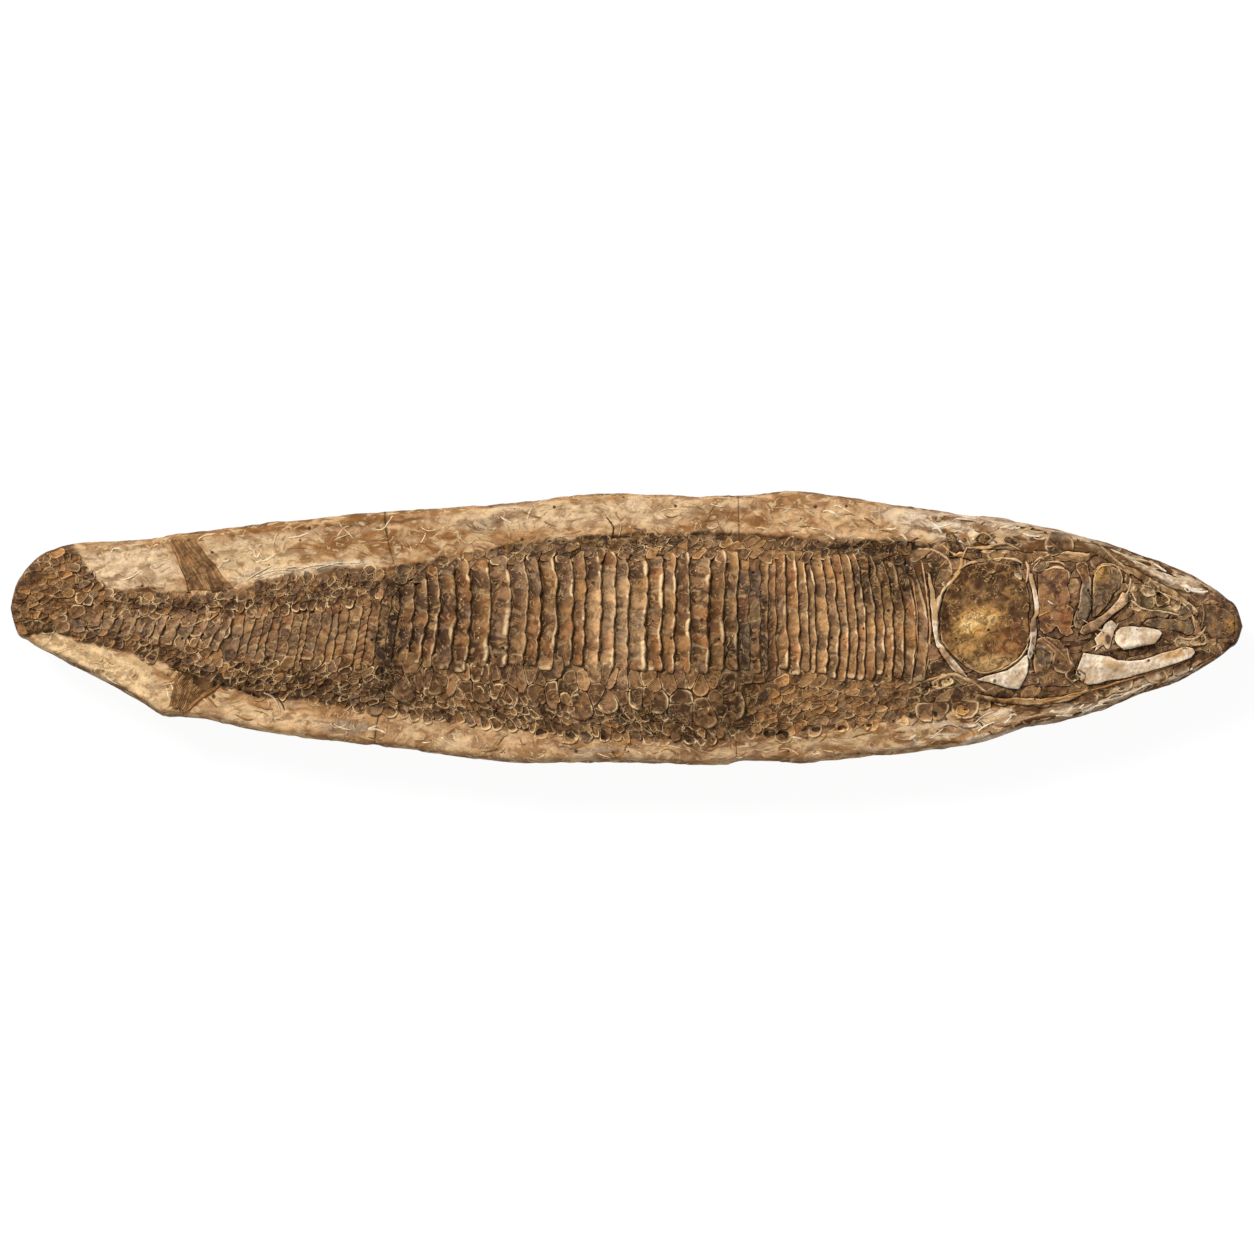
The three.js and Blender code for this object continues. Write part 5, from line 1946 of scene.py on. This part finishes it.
SHARDS = tuple(Shard(*row) for row in (
    ((233.8, 17.3), (3.6, 3.2), -30, "#cdb08a"),
    ((232.4, 11.9), (4.5, 3.4), -25, "#6d5c40"),
    ((240, 13.7), (4.5, 4), -25, "#5c452c"),
    ((245.5, 11.5), (3.4, 3.6), -30, "#c4a074"),
    ((236, 18.2), (5.6, 2.1), -32, "#d0ae82"),
    ((226, 4.6), (3.4, 2.2), 35, "#b9946c"),
    ((250, 7.4), (3, 4), -40, "#6b5a4a"),
    ((240, 6.5), (6, 1.6), -8, "#cbb08c"),
    ((243.4, -3.6), (4.2, 3.4), 0, "#4a3018"),
    ((248.2, -6.5), (4, 2.4), -20, "#d9bd92"),
    ((256, -5.2), (4, 2.6), 30, "#c5a478"),
    ((262, -6.5), (3, 1.6), 20, "#c9a87c"),
    ((228.5, 9.4), (3, 2), -20, "#b99b78"),
    ((226.3, 17.9), (2, 3), 20, "#cfae86"),
    ((224.4, 13.6), (1.6, 2), 0, "#dcc09a"),
    ((200.6, -22), (2.2, 1.6), 40, "#d2ae80"),
    ((182.4, -23.4), (2.6, 1.8), 0, "#cfae90"),
    ((175.4, 24), (1.6, 2.4), 30, "#cfb088"),
    ((163, 25.6), (3, 1.2), -8, "#b9966c"),
    ((159.7, 40.4), (7.4, 2.3), 3, "#463c32"),
    ((145.5, 41), (4.4, 1.9), -20, "#463c32"),
    ((172, 39), (4.4, 1.8), -10, "#574a3c"),
    ((156.4, 33.4), (3.4, 1.9), 10, "#382b20"),
    ((192, 34.6), (6, 1.9), -6, "#4a3b2c"),
    ((129.8, 38.5), (6, 2.4), 0, "#4a3b2b"),
    ((165.4, 32.8), (5, 2.4), -5, "#b08a58"),
    ((174, 27.9), (2.6, 3.4), 20, "#a98a62"),
    ((185.6, 28), (4.5, 2.6), 35, "#8f7a5e"),
    ((132.5, -25.9), (4.2, 4), 0, "#6d583c"),
    ((141, -24.2), (6, 3), 18, "#c2a070"),
    ((149.6, -22.4), (5, 2.2), -30, "#cdb088"),
    ((153.7, -28.6), (5.5, 2.6), -25, "#6f553a"),
    ((159.5, -33), (5, 3), -30, "#7a5c3c"),
    ((150.5, -36.7), (3.2, 2.4), 0, "#b98a4a"),
    ((186.8, -12.8), (4, 6), 10, "#7a6a58"),
    ((185, -21.8), (4.6, 3), 0, "#b08a62"),
    ((196, -15), (6, 5), 40, "#6d4f3c"),
    ((201.6, -21.8), (4, 6), 20, "#84583f"),
))


@dataclass
class BoneShards:
    """Broken pieces of bone between the larger ones, joined in one piece."""

    name: str
    shards: tuple[Shard, ...]
    rise: float = 0.9
    seed: int = 51

    SQUARENESS = 3.0

    def build(self) -> Piece:
        """Make the shards as thick rough plates.

        Returns:
            The dressed piece.
        """
        rng = np.random.default_rng(self.seed)
        roots = np.array([(*shard.middle, *shard.reach, 0.0, self.SQUARENESS) for shard in self.shards])
        turns = np.radians([shard.turn for shard in self.shards])
        tones = np.array([linear(shard.colour) for shard in self.shards])
        plates = Plates(self.name, roots, 0.0, Setting.BROKEN, turns)
        rises = self.rise * rng.uniform(0.8, 1.2, len(roots))
        return plates.build(rng, tones, 1.0, rises, BROWN_BONE, ())


@dataclass
class BoneThreads:
    """Thin ridges of bone, or strokes of mineral on the stone rim, joined in one piece.

    They lie on the ground, or over_bones on the tops of the bones as well.
    """

    name: str
    ridges: tuple[Ridge, ...]
    along: int = 60
    across: int = 8
    over_bones: bool = False

    # how deep a ridge goes in the ground, and the step that shows its direction
    SUNK, STEP = 0.5, 0.05

    def build(self) -> Piece:
        """Sweep each ridge along its line, half sunk in the ground.

        Returns:
            The dressed piece.
        """
        mesh, number, u, v = sheets(self.name, len(self.ridges), self.across, self.along)
        plan, side = np.zeros((len(u), 2)), np.zeros((len(u), 2))
        width, rise, stain = np.zeros_like(u), np.zeros_like(u), np.zeros((len(u), 3))
        for index, ridge in enumerate(self.ridges):
            mine = number == index
            steps = np.array(ridge.places, float)
            knots = np.concatenate([[0], np.cumsum(np.hypot(*np.diff(steps, axis=0).T))])
            for axis in (0, 1):
                curve = Line(tuple(zip(knots, steps[:, axis])))
                run = v[mine] * knots[-1]
                plan[mine, axis] = curve(run)
                ahead, behind = curve(run + self.STEP), curve(run - self.STEP)
                side[mine, 1 - axis] = (ahead - behind) * (1 if axis == 0 else -1)
            width[mine], rise[mine], stain[mine] = ridge.width, ridge.rise, linear(ridge.colour)
        side = side / np.maximum(np.hypot(*side.T), 1e-6)[:, None]
        uneven = (1 + 0.5 * grain.layered(*(3 * plan).T, 9, 3)) * (0.4 + 0.6 * np.sin(np.pi * v) ** 0.6)
        offset = (u - 0.5) * width * uneven + 0.4 * drift_x.layered(*plan.T, 5, 2)
        x, y = (plan + side * offset[:, None]).T
        round_over = np.sqrt(np.clip(1 - (2 * u - 1) ** 2, 0, 1))
        taper = smooth(0, 0.06, np.minimum(v, 1 - v))
        under = ground.top(x, y) if self.over_bones else ground.height(x, y)
        z = under - self.SUNK + (self.SUNK + rise * uneven) * round_over * taper
        set_places(mesh, np.stack([x, y, z], axis=1))
        face_out(mesh)
        # painted shade where each ridge meets the ground
        painted_shade = smooth(0.5, 0.1, round_over)
        piece = dresser.dress(self.name, mesh, THREAD, stain, np.zeros_like(u), painted_shade)
        lay_bake_map(mesh, np.stack([x, y], axis=1), np.zeros((len(x), 2)))
        return piece


@dataclass
class Studio:
    """Pale floor, soft light and a camera straight above the specimen."""

    lens: float = 240.0
    sensor: float = 36.0
    floor_reach: float = 3.0
    floor_glow: float = 0.945
    sun_from: tuple[float, float, float] = (-0.7, 0.8, 1.1)
    sun_width: float = 16.0
    sun_strength: float = 3.4
    sun_colour: tuple[float, float, float] = (1.0, 0.97, 0.93)
    sky_strength: float = 0.36

    def build(self) -> None:
        """Lay the floor, hang the light and set the camera."""
        scene = bpy.context.scene
        scene.view_settings.view_transform = "Standard"
        self.lay_floor()
        world = bpy.data.worlds.new("studio")
        world.use_nodes = True
        world.node_tree.nodes["Background"].inputs["Strength"].default_value = self.sky_strength
        world.node_tree.nodes["Background"].inputs["Color"].default_value = (1.0, 1.0, 1.0, 1.0)
        scene.world = world
        sun = bpy.data.lights.new("key", "SUN")
        sun.energy = self.sun_strength
        sun.color = self.sun_colour
        sun.angle = np.radians(self.sun_width)
        lamp = bpy.data.objects.new("key", sun)
        lamp.rotation_euler = (-Vector(self.sun_from)).to_track_quat("-Z", "Y").to_euler()
        scene.collection.objects.link(lamp)
        lens = bpy.data.cameras.new("camera")
        lens.lens, lens.sensor_width = self.lens, self.sensor
        camera = bpy.data.objects.new("camera", lens)
        away = PICTURE_WIDTH * self.lens / self.sensor
        camera.location = Vector((*PICTURE_MIDDLE, EQUATOR + away)) * MM
        scene.collection.objects.link(camera)
        scene.camera = camera

    def lay_floor(self) -> None:
        """Make the pale floor. It glows, so that the shadow on it stays light."""
        bm = bmesh.new()
        bmesh.ops.create_grid(bm, x_segments=4, y_segments=4, size=self.floor_reach)
        mesh = mesh_from(bm, "floor")
        paper = bpy.data.materials.new("white_paper")
        paper.use_nodes = True
        shader = paper.node_tree.nodes["Principled BSDF"]
        shader.inputs["Base Color"].default_value = (*linear("#3f3f3f"), 1.0)
        shader.inputs["Roughness"].default_value = 0.9
        shader.inputs["Emission Color"].default_value = (*linear("#ffffff"), 1.0)
        shader.inputs["Emission Strength"].default_value = self.floor_glow
        mesh.materials.append(paper)
        floor = bpy.data.objects.new("floor", mesh)
        bpy.context.scene.collection.objects.link(floor)


BLOCKS = (
    StoneBlock("stone_tail", TAIL_END, BREAK_BEHIND, 280, 150, -105.0),
    StoneBlock("stone_trunk", BREAK_BEHIND, BREAK_AHEAD, 256, 190, 0.0),
    StoneBlock("stone_head", BREAK_AHEAD, SNOUT_END, 360, 180, 50.0),
)
STEM_START = Line(((-14, -246), (14, -237)))
STEM_END = Line(((-30, -188), (-13, -184), (12, -172), (24, -168)))
FLANKS = (
    TallScales(
        "stem", STEM_START, STEM_END, 12, 20, rise=1.3, bold=0.7, lump=(5, 9), along=50, crest=0.3,
        toned=0.25, net=0.35,
    ),
    TallScales(
        "rear", TAIL_ROOT, BREAK_BEHIND, 17, 21, rise=0.8, bold=0.32, lump=(3, 6.5), along=110, crest=0.3,
        toned=0.45, net=0.3, nodes=("flank_rear",),
    ),
    TallScales("middle", BREAK_BEHIND, BREAK_AHEAD, 22, 22, along=150, nodes=("flank_middle",)),
    TallScales(
        "front", BREAK_AHEAD, SHOULDER, 19, 23, rise=1.6, bold=0.85, faint=4, lump=(7, 16), along=150,
        scallop=0.55, nodes=("flank_front",),
    ),
)


def even_rows(first: Row, rest: Row, count: int, reach: Place) -> tuple[Row, ...]:
    """Lay rows of small scales beside a first row.

    Args:
        first: The row beside the tall scales.
        rest: Pitch and size of the other rows.
        count: How many other rows.
        reach: Shares across the strip of the nearest and the farthest of them.

    Returns:
        All the rows.
    """
    return (first, *(replace(rest, share=share) for share in np.linspace(*reach, count)))


CELL = Row(0, 3.8, 4.2, 4.4)
SMALL_CELL = Row(0, 3.3, 3.6, 3.8)
DARK_TONES = ("#34251a", "#58432e", "#765f45", "#8e6838")
BODY_STRIPS = (
    SmallScales(
        "scales_belly_rear", TAIL_ROOT, BREAK_BEHIND, BODY_BELLY, FLANK_BOTTOM,
        even_rows(Row(0.92, 4.2, 4.6, 5.2), SMALL_CELL, 5, (0.74, 0.06)), 31, drawn=(20.0, 1.7),
        nodes=("belly_rear",),
    ),
    SmallScales(
        "scales_belly_middle", BREAK_BEHIND, BREAK_AHEAD, BODY_BELLY, OVAL_BOTTOM,
        even_rows(Row(0.98, 4.2, 4.6, 4.6), CELL, 5, (0.82, 0.04)), 32, drawn=(-40.0, 1.9), rim=1.4,
        nodes=("belly_middle",),
    ),
    SmallScales(
        "scales_oval_middle", BREAK_BEHIND, BREAK_AHEAD, OVAL_BOTTOM, FLANK_BOTTOM,
        (Row(0.8, 5.0, 5.6, 7.4, 0.1), Row(0.32, 6.0, 6.6, 8.6, -0.1)), 40, rise=1.5, drawn=(100.0, 1.25),
        dish=0.75, rim=0.75, tones=("#6a4a2e", "#7f5c3a", "#4e351e", "#946c42", "#5f4630"),
    ),
    SmallScales(
        "scales_belly_front", BREAK_AHEAD, SHOULDER, BODY_BELLY, FLANK_BOTTOM,
        even_rows(Row(0.92, 5.2, 5.4, 6.0, -0.1), CELL, 6, (0.7, 0.04)), 33, rise=0.6, drawn=(15.0, 1.9),
        rim=0.5, tones=("#644429", "#946c42", "#be8f5c", "#8f7459", "#ba864d"), nodes=("belly_front",),
    ),
    SmallScales(
        "scales_back_rear", TAIL_ROOT, BREAK_BEHIND, FLANK_TOP, BODY_BACK,
        even_rows(Row(0.06, 3.5, 3.8, 4.2), SMALL_CELL, 4, (0.28, 0.93)), 34, drawn=(40.0, 1.6),
        nodes=("back_rear",),
    ),
    SmallScales(
        "scales_back_middle", BREAK_BEHIND, BREAK_AHEAD, FLANK_TOP, BODY_BACK,
        even_rows(Row(0.08, 4.6, 5.4, 4.4, 0.3), Row(0, 4.0, 4.8, 3.8, -0.3), 2, (0.48, 0.88)), 35, rise=1.6,
        drawn=(28.0, 2.2), rim=0.7, dish=0.6, tones=("#3d2e20", "#67503a", "#806a50", "#a07442"),
        nodes=("back_middle",),
    ),
    SmallScales(
        "scales_back_front", BREAK_AHEAD, SHOULDER, FLANK_TOP, BODY_BACK,
        even_rows(Row(0.08, 4.6, 5.4, 4.2, -0.3), Row(0, 4.0, 4.8, 3.6, 0.3), 2, (0.48, 0.88)), 36, rise=1.4,
        drawn=(20.0, 2.2), rim=0.6, dish=0.6, tones=DARK_TONES, nodes=("back_front",),
    ),
    SmallScales(
        "scales_tail_stem", TAIL_FIN_ROOT, TAIL_ROOT, BODY_BELLY, BODY_BACK,
        (
            Row(0.95, 3.0, 3.4, 3.4), Row(0.84, 3.2, 3.6, 3.8), Row(0.73, 3.4, 3.8, 4.0),
            Row(0.62, 3.8, 4.2, 4.4), Row(0.32, 3.8, 4.2, 4.4), Row(0.21, 3.4, 3.8, 4.0),
            Row(0.1, 3.2, 3.4, 3.6), Row(0.03, 3.0, 3.2, 3.2),
        ), 37, drawn=(15.0, 1.7), nodes=("tail_stem",),
    ),
    SmallScales(
        "scales_tail_end", Line(((-10, -272), (10, -275), (40, -264))), TAIL_FIN_ROOT, TAIL_LOW, TAIL_HIGH,
        tuple(Row(share, 4.0, 4.6, 3.4) for share in np.linspace(0.02, 0.98, 12)), 38, rise=1.1,
        drawn=(8.0, 1.5), rim=0.6, tones=("#3a2818", "#5e442c", "#9c6c3a", "#6b5440", "#b8844a"),
    ),
    SmallScales(
        "bone_ground", SHOULDER, SNOUT_ROOT, BODY_BELLY, BODY_BACK,
        tuple(Row(share, 5.4, 6.2, 6.0) for share in np.linspace(0.04, 0.96, 13)), 39, rise=0.8,
        drawn=(15.0, 2.3), rim=0.6, dish=0.4, margin=2.0,
        tones=("#432c1c", "#6b4732", "#7c5640", "#9c7850", "#4a3626", "#b08c60"),
    ),
)
FINS = (
    Fin("tail_fin_upper", ((-248.2, 12), (-246.2, 30)), ((-275, 12), (-262, 32)), 18, "#80592f", 0.25),
    Fin("tail_fin_lower", ((-248.9, 0), (-248.2, 11.7)), ((-269, -1), (-275, 11.7)), 14, "#835c34", 0.25),
    Fin("dorsal_fin", ((-197, 16), (-175.5, 18.5)), ((-204.5, 39.2), (-194, 39.8)), 22, "#9d744c"),
    Fin("anal_fin", ((-181, -24.5), (-201, -18.5)), ((-198, -38), (-207, -34.5)), 20, "#88623c"),
)


def main() -> None:
    """Build the fossil and the studio, and note the size of the finished model."""
    logging.basicConfig(level=logging.INFO, format="%(message)s")
    Studio().build()
    Skull().build()
    for part in (*BLOCKS, *FLANKS, *BODY_STRIPS, *FINS):
        part.build()
    BoneShards("bone_shards", SHARDS).build()
    BoneThreads("bone_threads", RIDGES).build()
    BoneThreads("roof_threads", ROOF_RIDGES, over_bones=True).build()
    BoneThreads("rim_threads", HEAD_STROKES + RIM_STROKES + TAIL_STROKES, along=24, across=6).build()


if __name__ == "__main__":
    main()
